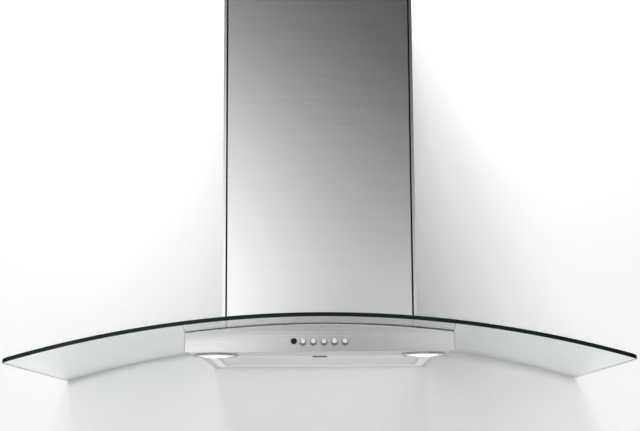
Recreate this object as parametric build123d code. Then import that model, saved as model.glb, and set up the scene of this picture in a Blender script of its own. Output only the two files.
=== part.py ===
from build123d import *
from math import asin, cos, degrees, radians, sin
import os

# A wall-mounted range hood: a bent glass canopy held between a slim steel body and an air box,
# with a telescopic chimney over the air box. Sizes are in millimetres.
# +X points right, +Y into the wall and +Z up. The wall is the plane Y = 0, and the origin lies
# midway between the four wall fixings.

# Glass canopy
glass_width = 900.0
glass_depth = 480.0
glass_thickness = 6.0
glass_bend_radius = 1620.0  # of the underside, about an axis along Y
glass_corner_radius = 12.0
wall_gap = 1.0  # behind the glass, the body and the chimney
fixing_rise = 150.0  # wall fixings above the underside of the glass at its crown
seal_thickness = 1.5
seal_width = 12.0
seal_inset = 4.0

# Body under the glass
body_border = 11.0  # filter's side to the body's side
body_height = 42.5  # underside of the glass at its crown down to the body's lower face
sheet = 1.2
shelf_overhang = 9.0  # past the body, on each side
shelf_depth = 92.0  # fascia's front face back to the filter opening
rear_rim = 22.0

# Control fascia
fascia_overhang = 5.0  # past the shelf, on each side
fascia_depth = 380.0  # its front face from the wall
fascia_return = 10.0
fascia_edge_radius = 2.0

# Push buttons, their carrier and the switches behind them
button_names = ("power", "low", "medium", "high", "lamp")
button_pitch = 15.7
window_pitch = 13.4  # sensor window to the first button
button_rise = 15.7  # above the body's lower face
button_radius = 3.9
button_stand = 3.0
button_edge_radius = 1.0
button_dimple_radius = 2.0
button_dimple_depth = 0.5
button_flange = 1.3  # past the cap, behind the fascia
button_flange_thickness = 1.2
button_stem_radius = 2.0
button_travel = 1.5
running_gap = 0.3
rest_gap = 0.2
window_radius = 4.5
window_stand = 0.4
window_barrel_radius = 4.0
window_barrel_length = 5.0
carrier_height = 18.0
carrier_thickness = 10.0
carrier_end = 12.0  # past the outermost control
carrier_leg_width = 5.0
switch_size = 6.0
switch_height = 2.6
switch_gap = 0.4
board_thickness = 1.6

# Lamps
lamp_inset = 18.0  # centre in from the filter's side
lamp_rear_gap = 1.0  # flange to the filter's opening
lamp_flange = 1.4  # past the collar
lamp_flange_thickness = 2.2
lamp_edge = 1.0
lamp_collar_radius = 33.6
lamp_collar_wall = 0.8
lamp_collar_height = 8.0
lamp_lip = 1.3
lamp_lip_thickness = 1.2
lamp_fit = 0.2
lens_thickness = 2.5
lens_dome = 3.2
lamp_base_thickness = 1.5
heat_sink_radius = 26.0
heat_sink_height = 10.0
heat_sink_fins = 16
heat_sink_slot = 3.0
heat_sink_core_radius = 14.0

# Grease filter, its pivots and its latch
filter_width = 354.0
filter_gap = 1.0
filter_thickness = 9.0
filter_border = 14.0
mesh_thickness = 1.2
mesh_grip = 5.0  # how far the mesh reaches into the frame
mesh_pitch_x = 21.0
mesh_pitch_y = 16.0
mesh_strand = 3.0
pivot_radius = 2.5
pivot_gap = 0.1
pivot_seat = 10.0
lug_thickness = 2.0
lug_gap = 0.6
lug_radius = 6.0
pivot_end = 1.0  # past the lug
latch_width = 24.0
latch_length = 7.0
latch_thickness = 2.0
latch_wing = 2.0
latch_wing_thickness = 1.6
latch_travel = 4.0
latch_tab_width = 22.0
latch_tab_height = 3.0
latch_tab_thickness = 2.0

# Air box over the glass, and the plate that hangs it on the wall
airbox_width = 244.0
airbox_flange = 24.0
airbox_front_flange = 14.0
airway_inset = 10.0
airway_rear_inset = 24.0
airway_corner_radius = 12.0
wall_plate_height = 130.0
wall_plate_thickness = 3.0
wall_plate_corner_radius = 8.0
fixing_inset = 9.0  # from the plate's sides
fixing_spacing_z = 90.0
fixing_hole_radius = 4.25

# Bolts that clamp the air box, the glass and the body together
clamp_radius = 3.0
clamp_gap = 1.0  # round the bolt, in the glass
clamp_fit = 0.05
clamp_spacing_y = 140.0
clamp_head_radius = 5.5
clamp_head_height = 4.0
clamp_nut_height = 5.0
clamp_tail = 7.0

# Blower: a scroll with an inlet on each side, and a drum impeller on a shaft along X
blower_rise = 132.0  # shaft above the underside of the glass at its crown
scroll_rear_gap = 15.0
scroll_gap = 8.0  # from the impeller where the scroll starts
scroll_step = 10.0
scroll_width = 120.0
scroll_wall = 2.0
inlet_step = 2.0  # past the inside of the blades
inlet_lip_width = 6.0
inlet_lip_height = 5.0
inlet_lip_radius = 4.0
neck_rise = 126.8  # top of the scroll's neck above the shaft
transition_height = 40.0
impeller_radius = 72.0
blade_depth = 14.0
impeller_side_gap = 4.0
impeller_ring_thickness = 3.0
impeller_disc_thickness = 2.0
blade_count = 36
blade_thickness = 1.2
blade_lean = 12.0  # degrees that the tip runs ahead of the root
blade_bow = 2.5
hub_radius = 14.0
hub_length = 20.0
shaft_radius = 4.0
shaft_fit = 0.05
shaft_end = 6.0
motor_radius = 38.0
motor_length = 54.0
motor_gap = 2.0  # from the hub
motor_edge_radius = 5.0
motor_bell_radius = 16.0
motor_bell_length = 6.0
spider_wall = 5.0
spider_length = 8.0
spider_arms = 3
spider_arm_width = 9.0
spider_arm_thickness = 4.0
spider_foot_radius = 6.0
spider_foot_inset = 14.0  # from the lip of the inlet out to the middle of a foot
motor_screw_radius = 2.0
motor_screw_head_radius = 3.5
motor_screw_head_height = 2.5

# Outlet collar and its two back-draught flaps
collar_radius = 74.5
collar_wall = 2.5
collar_height = 55.0
collar_base_margin = 4.5
collar_front_inset = 1.8  # base to the air box's front
outlet_step = 2.0  # outlet inside the collar's bore
collar_base_thickness = 3.0
collar_base_corner_radius = 8.0
collar_screw_inset = 7.0
collar_screw_radius = 2.0
collar_screw_head_radius = 3.8
collar_screw_head_height = 2.4
flap_rise = 22.0  # pin above the underside of the collar's base
flap_thickness = 1.5
flap_gap = 1.5
flap_pin_radius = 2.0
flap_pin_gap = 0.1
flap_knuckle_radius = 4.0
flap_knuckles = 4
flap_knuckle_gap = 1.0
flap_knuckle_end = 12.0  # left free at each end of the pin
ledge_width = 5.0
ledge_thickness = 2.0

# Electrics on top of the air box
terminal_box_width = 36.0
terminal_box_depth = 64.0
terminal_box_height = 30.0
terminal_box_wall = 2.0
terminal_box_edge_radius = 3.0
top_inset = 2.0  # from the air box's edges
gland_bore_radius = 4.5
gland_body_radius = 7.0
gland_body_length = 6.0
gland_hex_radius = 10.0
gland_hex_height = 5.0
gland_cap_radius = 8.5
gland_cap_height = 11.0
gland_cap_edge_radius = 3.0
capacitor_radius = 16.0
capacitor_height = 60.0
capacitor_edge_radius = 2.0
capacitor_inset = 24.0
clamp_ring_wall = 2.0
clamp_ring_height = 12.0

# Lower chimney
chimney_side_gap = 8.0  # from the air box's flange
chimney_front_gap = 14.0
chimney_rise = 560.0  # its top above the underside of the glass at its crown
chimney_sheet = 1.2
chimney_strip = 4.5  # width of the side panels seen from the front
seam_gap = 2.5
seam_depth = 8.0
chimney_lip = 14.0
chimney_foot_gap = 0.3
bracket_sheet = 1.5
bracket_length = 44.0
bracket_height = 30.0
chimney_screw_spacing = 24.0
chimney_screw_rise = 18.0  # above the underside of the glass at its crown
chimney_screw_radius = 2.0
chimney_screw_head_radius = 3.6
chimney_screw_head_height = 1.6
screw_fit = 0.05

# Upper chimney, which slides inside the lower one
upper_length = 480.0
upper_stand = 100.0  # above the lower chimney
upper_side_gap = 1.8
upper_front_gap = 0.3
vent_slot_length = 50.0
vent_slot_height = 5.0
vent_pitch_y = 70.0
vent_pitch_z = 11.0
vent_columns = 3
vent_rows = 5
vent_drop = 110.0  # middle of the slots below the top
strap_drop = 40.0  # middle of the wall strap below the top
strap_height = 30.0
strap_sheet = 2.0
strap_tab = 30.0
strap_hole_radius = 3.0
strap_hole_spacing = 200.0
upper_screw_inset = 18.0  # from the wall
upper_screw_head_height = 1.0

# Places worked out from those sizes
crown_z = -fixing_rise
bend_axis_z = crown_z - glass_bend_radius
glass_top_radius = glass_bend_radius + glass_thickness
body_top_radius = glass_bend_radius - seal_thickness
flange_radius = glass_top_radius + seal_thickness
flange_top_radius = flange_radius + sheet

body_width = filter_width + 2 * body_border
shelf_width = body_width + 2 * shelf_overhang
fascia_width = shelf_width + 2 * fascia_overhang
body_floor_z = crown_z - body_height
body_front_y = sheet - fascia_depth
body_back_y = -wall_gap
shelf_back_y = shelf_depth - fascia_depth

button_z = body_floor_z + button_rise
button_count = len(button_names)
control_row_width = window_pitch + button_pitch * (button_count - 1)
window_x = -control_row_width / 2
button_xs = [window_x + window_pitch + button_pitch * i for i in range(button_count)]
button_flange_radius = button_radius + button_flange
carrier_half_width = control_row_width / 2 + carrier_end
carrier_back_y = body_front_y + carrier_thickness
board_front_y = carrier_back_y + switch_gap + switch_height
button_pocket_depth = rest_gap + button_flange_thickness + button_travel + rest_gap

lamp_spacing = filter_width - 2 * lamp_inset
lamp_flange_radius = lamp_collar_radius + lamp_flange
lamp_y = shelf_back_y - lamp_rear_gap - lamp_flange_radius
lens_rim_radius = lamp_collar_radius - lamp_collar_wall - lamp_fit
lamp_lip_radius = lamp_collar_radius - lamp_collar_wall - lamp_lip
lamp_lip_z = lamp_lip_thickness - lamp_flange_thickness

filter_front_y = shelf_back_y + filter_gap
opening_back_y = body_back_y - rear_rim
pivot_y = opening_back_y - filter_gap - filter_thickness / 2
pivot_z = body_floor_z + filter_thickness / 2
lug_inner_x = filter_width / 2 + filter_gap + lug_gap
latch_front_y = shelf_back_y + running_gap

impeller_inner_radius = impeller_radius - blade_depth
inlet_radius = impeller_inner_radius + inlet_step
scroll_start_radius = impeller_radius + scroll_gap
scroll_outer_width = scroll_width + 2 * scroll_wall
airbox_back_y = -wall_plate_thickness
blower_y = airbox_back_y - sheet - scroll_rear_gap - scroll_wall - scroll_start_radius - scroll_step / 2
blower_z = crown_z + blower_rise
neck_front = -scroll_start_radius - 2.5 * scroll_step  # from the shaft
neck_back = scroll_step / 2
neck_depth = neck_back - neck_front
neck_top_z = blower_z + neck_rise
outlet_y = blower_y + (neck_front + neck_back) / 2
outlet_radius = collar_radius - collar_wall - outlet_step
collar_base_size = 2 * (collar_radius + collar_base_margin)
impeller_half_width = scroll_width / 2 - impeller_side_gap
motor_start_x = hub_length / 2 + motor_gap
motor_end_x = motor_start_x + motor_length
arm_x = scroll_outer_width / 2 + inlet_lip_height + rest_gap
foot_ring_radius = inlet_radius + spider_foot_inset

airbox_front_y = outlet_y - collar_base_size / 2 - collar_front_inset
airbox_top_z = neck_top_z + transition_height + sheet
wall_plate_width = airbox_width + 2 * airbox_flange
fixing_spacing_x = wall_plate_width - 2 * fixing_inset
airway_width = airbox_width - 2 * (sheet + airway_inset)
airway_front_y = airbox_front_y + sheet + airway_inset
airway_back_y = airbox_back_y - sheet - airway_rear_inset
clamp_x = (airbox_width + airbox_flange) / 2
clamp_angle = degrees(asin(clamp_x / flange_radius))
clamp_mid_y = (airbox_front_y + airbox_back_y) / 2

flap_z = airbox_top_z + flap_rise
flap_radius = collar_radius - collar_wall - flap_gap
collar_screw_offset = collar_base_size / 2 - collar_screw_inset
terminal_box_x = airbox_width / 2 - top_inset - terminal_box_width / 2
terminal_box_y = airbox_back_y - top_inset - terminal_box_depth / 2
gland_z = airbox_top_z + terminal_box_height

chimney_width = wall_plate_width + 2 * chimney_side_gap
chimney_depth = chimney_front_gap + airbox_front_flange - airbox_front_y
chimney_top_z = crown_z + chimney_rise
chimney_bottom_radius = glass_top_radius + chimney_foot_gap
strip_inner_x = chimney_width / 2 - chimney_strip
front_panel_half_width = strip_inner_x - seam_gap
chimney_inner_x = chimney_width / 2 - chimney_sheet
lip_front_y = seam_depth - chimney_depth
upper_half_width = chimney_inner_x - upper_side_gap
upper_inner_x = upper_half_width - chimney_sheet
upper_front_y = lip_front_y + chimney_sheet + upper_front_gap
upper_back_y = -wall_gap - chimney_sheet
upper_top_z = chimney_top_z + upper_stand
strap_z = upper_top_z - strap_drop


def block(x_range, y_range, z_range):
    """A box given by its extent along each axis."""
    spans = (x_range, y_range, z_range)
    middle = [(low + high) / 2 for low, high in spans]
    return Pos(*middle) * Box(*[high - low for low, high in spans])


def plan(x_range, y_range):
    """A rectangle in plan."""
    middle = Pos(sum(x_range) / 2, sum(y_range) / 2)
    return middle * Rectangle(x_range[1] - x_range[0], y_range[1] - y_range[0])


def bend_cylinder(radius):
    """All that lies within a radius of the bend's axis, past the hood's front and back."""
    return Pos(0, -glass_depth / 2, bend_axis_z) * Rot(90, 0, 0) * Cylinder(radius, 2 * glass_depth)


def bent_sheet(outline, inner_radius, thickness):
    """An outline in plan, cut from a sheet that is bent like the glass."""
    column = Pos(0, 0, crown_z - glass_width / 2) * extrude(outline, glass_width)
    return column & (bend_cylinder(inner_radius + thickness) - bend_cylinder(inner_radius))


def across_bend(angle, y):
    """A place on the bend's axis whose +Z points out through the glass at an angle from the crown."""
    return Pos(0, y, bend_axis_z) * Rot(0, angle, 0)


def clamp_places():
    offsets = (-clamp_spacing_y / 2, clamp_spacing_y / 2)
    return [across_bend(side * clamp_angle, clamp_mid_y + y) for side in (-1, 1) for y in offsets]


def upright(radius, low, high):
    """A cylinder along Z between two heights."""
    return Pos(0, 0, (low + high) / 2) * Cylinder(radius, high - low)


def along_x(radius, low, high):
    """A cylinder along X between two places."""
    return Pos((low + high) / 2, 0, 0) * Rot(0, 90, 0) * Cylinder(radius, high - low)


def turned(outline):
    """An outline of radius and height, turned about Z."""
    return revolve(Plane.XZ * outline, Axis.Z)


def clamp_holes(radius):
    reach = 2 * clamp_head_radius + glass_thickness + body_height
    hole = upright(radius, glass_bend_radius - reach, glass_bend_radius + reach)
    return [place * hole for place in clamp_places()]


def airway(margin):
    """The air passage through the body's top and the glass, grown by a margin."""
    width = airway_width + 2 * margin
    depth = airway_back_y - airway_front_y + 2 * margin
    middle = Pos(0, (airway_front_y + airway_back_y) / 2)
    return middle * RectangleRounded(width, depth, airway_corner_radius + margin)


def glass_canopy():
    outline = plan((-glass_width / 2, glass_width / 2), (-glass_depth, -wall_gap))
    outline = fillet(outline.vertices().sort_by(Axis.Y)[:2], glass_corner_radius)
    glass = bent_sheet(outline - airway(0), glass_bend_radius, glass_thickness)
    return glass - clamp_holes(clamp_radius + clamp_gap)


def body_plan(inset):
    """The body from above: a wide shelf for the lamps in front of a narrower filter box."""
    shelf_half = shelf_width / 2 - inset
    box_half = body_width / 2 - inset
    shelf = plan((-shelf_half, shelf_half), (body_front_y + inset, shelf_back_y - inset))
    return shelf + plan((-box_half, box_half), (body_front_y + inset, body_back_y - inset))


def body_column(inset, floor_z, top_radius):
    column = Pos(0, 0, floor_z) * extrude(body_plan(inset), crown_z - floor_z)
    return column & bend_cylinder(top_radius)


def body_shell():
    """A folded steel tray, arched on top, open below for the filter and above for the air."""
    floor_top_z = body_floor_z + sheet
    shell = body_column(0, body_floor_z, body_top_radius)
    shell -= body_column(sheet, floor_top_z, body_top_radius - sheet)
    half_opening = filter_width / 2 + filter_gap
    floor_range = (body_floor_z - sheet, floor_top_z + sheet)
    shell -= block((-half_opening, half_opening), (shelf_back_y, opening_back_y), floor_range)
    shell -= Pos(0, 0, floor_top_z + sheet) * extrude(airway(0), body_height)
    carrier_slot = carrier_half_width + rest_gap
    carrier_range = (button_z - carrier_height / 2 - rest_gap, button_z + carrier_height / 2 + rest_gap)
    front_range = (body_front_y - sheet, body_front_y + 2 * sheet)
    shell -= block((-carrier_slot, carrier_slot), front_range, carrier_range)
    lamp_hole = upright(lamp_collar_radius + lamp_fit, *floor_range)
    shell -= [lamp_place(side, 0) * lamp_hole for side in (-1, 1)]
    return shell - clamp_holes(clamp_radius + clamp_fit)


def glass_seal_lower():
    """Rubber between the body and the glass: a ring at the edge, with a lip on the fascia, and one at the airway."""
    edge = body_plan(seal_inset) - body_plan(seal_inset + seal_width)
    half_lip = (fascia_width - sheet) / 2
    lip = plan((-half_lip, half_lip), (body_front_y + seal_inset, fascia_return - fascia_depth))
    collar = airway(airway_inset + sheet + airbox_flange) & body_plan(seal_inset)
    rings = bent_sheet(edge + lip + collar - airway(0), body_top_radius, seal_thickness)
    return rings - clamp_holes(clamp_radius + clamp_fit)


def control_fascia():
    """The folded front panel. Its top edge follows the glass, and its ends turn back."""
    half_width = fascia_width / 2
    back_y = fascia_return - fascia_depth
    outer = plan((-half_width, half_width), (-fascia_depth, back_y))
    outer = fillet(outer.vertices().sort_by(Axis.Y)[:2], fascia_edge_radius)
    inner = plan((sheet - half_width, half_width - sheet), (body_front_y, back_y))
    channel = Pos(0, 0, body_floor_z) * extrude(outer - inner, body_height)
    channel &= bend_cylinder(body_top_radius)
    button_hole = upright(button_radius + running_gap, -sheet, 2 * sheet)
    channel -= [control_place(x) * button_hole for x in button_xs]
    return channel - control_place(window_x) * upright(window_radius, -sheet, 2 * sheet)


def control_place(x):
    """A place on the back of the fascia's front sheet whose +Z points out to the front."""
    return Pos(x, body_front_y, button_z) * Rot(90, 0, 0)


def push_button(x):
    """A round cap with a dimple, a flange behind the fascia and a stem towards its switch."""
    front = sheet + button_stand
    stem_end = button_travel + rest_gap - carrier_thickness - switch_gap
    cap = Polyline(
        (0, stem_end),
        (button_stem_radius, stem_end),
        (button_stem_radius, -rest_gap - button_flange_thickness),
        (button_flange_radius, -rest_gap - button_flange_thickness),
        (button_flange_radius, -rest_gap),
        (button_radius, -rest_gap),
        (button_radius, front - button_edge_radius),
    )
    edge = RadiusArc(cap @ 1, (button_radius - button_edge_radius, front), -button_edge_radius)
    face = Line(edge @ 1, (button_dimple_radius, front))
    sphere_radius = (button_dimple_radius**2 + button_dimple_depth**2) / (2 * button_dimple_depth)
    dimple = RadiusArc(face @ 1, (0, front - button_dimple_depth), sphere_radius)
    close = Line(dimple @ 1, (0, stem_end))
    return control_place(x) * turned(make_face(Curve() + [cap, edge, face, dimple, close]))


def sensor_window():
    front = sheet + window_stand
    outline = plan((0, window_radius), (0, front))
    outline += plan((0, window_barrel_radius), (-window_barrel_length, 0))
    lens = turned(outline)
    return control_place(window_x) * fillet(lens.edges().sort_by(Axis.Z)[-1:], window_stand)


def button_carrier():
    """A moulded block behind the fascia that guides the stems and carries the board on its two legs."""
    half_width = carrier_half_width
    z_range = (button_z - carrier_height / 2, button_z + carrier_height / 2)
    carrier = block((-half_width, half_width), (body_front_y, carrier_back_y), z_range)
    for end in (-half_width, half_width - carrier_leg_width):
        carrier += block((end, end + carrier_leg_width), (carrier_back_y, board_front_y), z_range)
    pocket = upright(button_flange_radius + running_gap, -button_pocket_depth, sheet)
    guide = upright(button_stem_radius + running_gap, -2 * carrier_thickness, sheet)
    carrier -= [control_place(x) * (pocket + guide) for x in button_xs]
    barrel = upright(window_barrel_radius + screw_fit, -window_barrel_length - rest_gap, sheet)
    return carrier - control_place(window_x) * barrel


def control_board():
    z_range = (button_z - carrier_height / 2, button_z + carrier_height / 2)
    y_range = (board_front_y, board_front_y + board_thickness)
    return block((-carrier_half_width, carrier_half_width), y_range, z_range)


def tact_switches():
    middle_y = board_front_y - switch_height / 2
    body = fillet(Box(switch_size, switch_height, switch_size).edges().filter_by(Axis.Y), switch_size / 8)
    return Compound(children=[Pos(x, middle_y, button_z) * body for x in button_xs])


def lamp_place(side, z):
    return Pos(side * lamp_spacing / 2, lamp_y, z)


def lamp_bezel(side):
    """A spun ring: a flange under the shelf, a collar through it and a lip that holds the lens."""
    outline = Polyline(
        (lamp_lip_radius, -lamp_flange_thickness),
        (lamp_flange_radius - lamp_edge, -lamp_flange_thickness),
        (lamp_flange_radius, lamp_edge - lamp_flange_thickness),
        (lamp_flange_radius, 0),
        (lamp_collar_radius, 0),
        (lamp_collar_radius, lamp_collar_height),
        (lamp_collar_radius - lamp_collar_wall, lamp_collar_height),
        (lamp_collar_radius - lamp_collar_wall, lamp_lip_z),
        (lamp_lip_radius, lamp_lip_z),
        close=True,
    )
    return lamp_place(side, body_floor_z) * turned(make_face(outline))


def lamp_lens(side):
    """A disc on the bezel's lip, domed below."""
    dome_radius = lamp_lip_radius - lamp_fit
    top_z = lamp_lip_z + lens_thickness
    rim = Polyline(
        (0, top_z),
        (lens_rim_radius, top_z),
        (lens_rim_radius, lamp_lip_z),
        (dome_radius, lamp_lip_z),
    )
    sphere_radius = (dome_radius**2 + lens_dome**2) / (2 * lens_dome)
    dome = RadiusArc(rim @ 1, (0, lamp_lip_z - lens_dome), sphere_radius)
    close = Line(dome @ 1, (0, top_z))
    return lamp_place(side, body_floor_z) * turned(make_face(Curve() + [rim, dome, close]))


def lamp_housing(side):
    """A base on the bezel's collar with a finned heat sink on it."""
    base = upright(lamp_collar_radius, lamp_collar_height, lamp_collar_height + lamp_base_thickness)
    sink_low = lamp_collar_height + lamp_base_thickness
    sink_high = sink_low + heat_sink_height
    sink = upright(heat_sink_radius, sink_low, sink_high)
    slot = block(
        (heat_sink_core_radius, 2 * heat_sink_radius),
        (-heat_sink_slot / 2, heat_sink_slot / 2),
        (sink_low, sink_high),
    )
    sink -= [Rot(0, 0, 360 * i / heat_sink_fins) * slot for i in range(heat_sink_fins)]
    return lamp_place(side, body_floor_z) * (base + sink)


def filter_frame():
    """A channel frame, round along its rear edge where it turns, with a keyed slot for the latch."""
    half_width = filter_width / 2
    z_range = (body_floor_z, body_floor_z + filter_thickness)
    frame = block((-half_width, half_width), (filter_front_y, pivot_y), z_range)
    frame += Pos(0, pivot_y, pivot_z) * along_x(filter_thickness / 2, -half_width, half_width)
    frame -= filter_window(0, (body_floor_z - sheet, z_range[1] + sheet))
    frame -= filter_window(mesh_grip, (pivot_z - mesh_thickness / 2, pivot_z + mesh_thickness / 2))
    hole = along_x(pivot_radius + screw_fit, half_width - pivot_seat, half_width + sheet)
    frame -= [Pos(0, pivot_y, pivot_z) * part for part in (hole, mirror(hole, Plane.YZ))]
    slot_back_y = latch_front_y + latch_length + latch_travel + rest_gap
    wing_low_z = body_floor_z + latch_thickness
    slot_width = latch_width / 2 + running_gap
    slot_y = (shelf_back_y, slot_back_y)
    frame -= block((-slot_width, slot_width), slot_y, (body_floor_z - sheet, wing_low_z))
    wing_width = slot_width + latch_wing
    wing_high_z = wing_low_z + latch_wing_thickness + 2 * rest_gap
    return frame - block((-wing_width, wing_width), slot_y, (wing_low_z, wing_high_z))


def filter_window(margin, z_range):
    """The space inside the filter's frame, grown by a margin."""
    half_width = filter_width / 2 - filter_border + margin
    y_range = (filter_front_y + filter_border - margin, pivot_y - filter_border + margin)
    return block((-half_width, half_width), y_range, z_range)


def filter_mesh():
    """Expanded metal: rows of diamonds, each row set half a pitch from the last."""
    width = filter_width - 2 * (filter_border - mesh_grip)
    front_y = filter_front_y + filter_border - mesh_grip
    depth = pivot_y - filter_border + mesh_grip - front_y
    middle_y = front_y + depth / 2
    half_x = (mesh_pitch_x - mesh_strand) / 2
    half_y = (mesh_pitch_y - mesh_strand) / 2
    diamond = make_face(Polyline((half_x, 0), (0, half_y), (-half_x, 0), (0, -half_y), close=True))
    columns = int((filter_width - 2 * filter_border) / mesh_pitch_x)
    rows = int((depth - 2 * mesh_grip) / mesh_pitch_y)
    places = GridLocations(mesh_pitch_x, mesh_pitch_y, columns, rows).locations
    places += GridLocations(mesh_pitch_x, mesh_pitch_y, columns - 1, rows - 1).locations
    net = Rectangle(width, depth) - [place * diamond for place in places]
    return Pos(0, middle_y, pivot_z - mesh_thickness / 2) * extrude(net, mesh_thickness)


def filter_pivot_pins():
    pin = along_x(pivot_radius, filter_width / 2 - pivot_seat, lug_inner_x + lug_thickness + pivot_end)
    pin = Pos(0, pivot_y, pivot_z) * pin
    return Compound(children=[pin, mirror(pin, Plane.YZ)])


def filter_pivot_lugs():
    """Two ears that stand on the body's rim, each with a bore for a pin."""
    foot_low = body_floor_z + sheet - pivot_z
    ear = plan((-lug_radius, lug_radius), (foot_low, 0)) + Circle(lug_radius)
    ear &= plan((-lug_radius, lug_radius), (foot_low, lug_radius))
    ear -= Circle(pivot_radius + pivot_gap)
    ear = Pos(lug_inner_x, pivot_y, pivot_z) * extrude(Plane.YZ * ear, lug_thickness)
    return Compound(children=[ear, mirror(ear, Plane.YZ)])


def filter_latch():
    """A sliding catch: a nose at the shelf's edge, two wings in the slot and a finger tab below."""
    back_y = latch_front_y + latch_length
    low_z = body_floor_z
    wing_low_z = low_z + latch_thickness + rest_gap
    half_width = latch_width / 2
    latch = block((-half_width, half_width), (latch_front_y, back_y), (low_z, wing_low_z))
    wing_width = half_width + latch_wing
    wing_y = (filter_front_y + running_gap, back_y)
    latch += block((-wing_width, wing_width), wing_y, (wing_low_z, wing_low_z + latch_wing_thickness))
    tab_width = latch_tab_width / 2
    tab_y = (back_y - latch_tab_thickness, back_y)
    return latch + block((-tab_width, tab_width), tab_y, (low_z - latch_tab_height, low_z))


def airbox():
    """A steel box with an open foot. A flange bent like the glass runs round the foot."""
    half_width = airbox_width / 2
    z_range = (crown_z - body_height, airbox_top_z)
    box = block((-half_width, half_width), (airbox_front_y, airbox_back_y), z_range)
    inner_x = half_width - sheet
    inner_y = (airbox_front_y + sheet, airbox_back_y - sheet)
    box -= block((-inner_x, inner_x), inner_y, (z_range[0] - sheet, airbox_top_z - sheet))
    box -= bend_cylinder(flange_radius)
    box += bent_sheet(flange_plan(), flange_radius, sheet)
    box -= Pos(0, outlet_y, airbox_top_z) * Cylinder(outlet_radius, 4 * sheet)
    screw_hole = Cylinder(collar_screw_radius + screw_fit, 4 * sheet)
    box -= [place * screw_hole for place in collar_screw_places()]
    return box - clamp_holes(clamp_radius + clamp_fit)


def flange_plan():
    half_width = airbox_width / 2 + airbox_flange
    outline = plan((-half_width, half_width), (airbox_front_y - airbox_front_flange, airbox_back_y))
    return outline - airway(0)


def glass_seal_upper():
    seal = bent_sheet(flange_plan(), glass_top_radius, seal_thickness)
    return seal - clamp_holes(clamp_radius + clamp_fit)


def wall_plate():
    outline = RectangleRounded(wall_plate_width, wall_plate_height, wall_plate_corner_radius)
    places = GridLocations(fixing_spacing_x, fixing_spacing_z, 2, 2).locations
    outline -= [place * Circle(fixing_hole_radius) for place in places]
    return extrude(Plane.XZ * outline, wall_plate_thickness)


def clamp_bolts():
    low = body_top_radius - sheet - clamp_tail
    bolt = upright(clamp_radius, low, flange_top_radius)
    head = extrude(RegularPolygon(clamp_head_radius, 6), clamp_head_height)
    bolt += Pos(0, 0, flange_top_radius) * head
    return Compound(children=[place * bolt for place in clamp_places()])


def clamp_nuts():
    outline = RegularPolygon(clamp_head_radius, 6) - Circle(clamp_radius + clamp_fit)
    low = body_top_radius - sheet - clamp_fit - clamp_nut_height
    nut = Pos(0, 0, low) * extrude(outline, clamp_nut_height)
    return Compound(children=[place * nut for place in clamp_places()])


def scroll_section(wall):
    """The scroll from the side, about the shaft: three quarter turns, each a step larger than the last,
    and a straight neck upwards. The wall grows it outwards."""
    step = scroll_step
    radius = scroll_start_radius + wall
    back = CenterArc((step / 2, -step / 2), radius, 90, -90)
    bottom = CenterArc((-step / 2, -step / 2), radius + step, 0, -90)
    front = CenterArc((-step / 2, step / 2), radius + 2 * step, 270, -90)
    chord = Line(front @ 1, back @ 0)
    turns = make_face(Curve() + [back, bottom, front, chord])
    neck_range = (step / 2, neck_top_z - blower_z)
    return turns + plan((neck_front - wall, neck_back + wall), neck_range)


def blower_housing(side):
    """Half of the scroll, with a rounded inlet lip on its side wall."""
    half = extrude(Plane.YZ * scroll_section(scroll_wall), scroll_outer_width / 2)
    half -= extrude(Plane.YZ * scroll_section(0), scroll_width / 2)
    lip_low = scroll_width / 2
    lip = along_x(inlet_radius + inlet_lip_width, lip_low, scroll_outer_width / 2 + inlet_lip_height)
    rim = lip.edges().filter_by(GeomType.CIRCLE).sort_by(Axis.X)[-1:]
    half += fillet(rim, inlet_lip_radius)
    half -= along_x(inlet_radius, 0, scroll_outer_width)
    screw_hole = upright(motor_screw_radius + screw_fit, 0, scroll_outer_width)
    half -= [place * screw_hole for place in foot_places()]
    half = Pos(0, blower_y, blower_z) * half
    return half if side > 0 else mirror(half, Plane.YZ)


def foot_places():
    """Places round the shaft on the blower's mid plane whose +Z points along +X."""
    angles = [360 * i / spider_arms for i in range(spider_arms)]
    return [Rot(angle, 0, 0) * Pos(0, 0, foot_ring_radius) * Rot(0, 90, 0) for angle in angles]


def outlet_transition():
    """A moulded duct from the scroll's rectangular neck to the round outlet."""
    low = Pos(0, outlet_y, neck_top_z)
    high = Pos(0, outlet_y, airbox_top_z - sheet)
    wall = 2 * scroll_wall
    neck = low * Rectangle(scroll_width + wall, neck_depth + wall)
    outer = loft([neck, high * Circle(outlet_radius + scroll_wall)])
    inner = loft([low * Rectangle(scroll_width, neck_depth), high * Circle(outlet_radius)])
    return outer - inner


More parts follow.
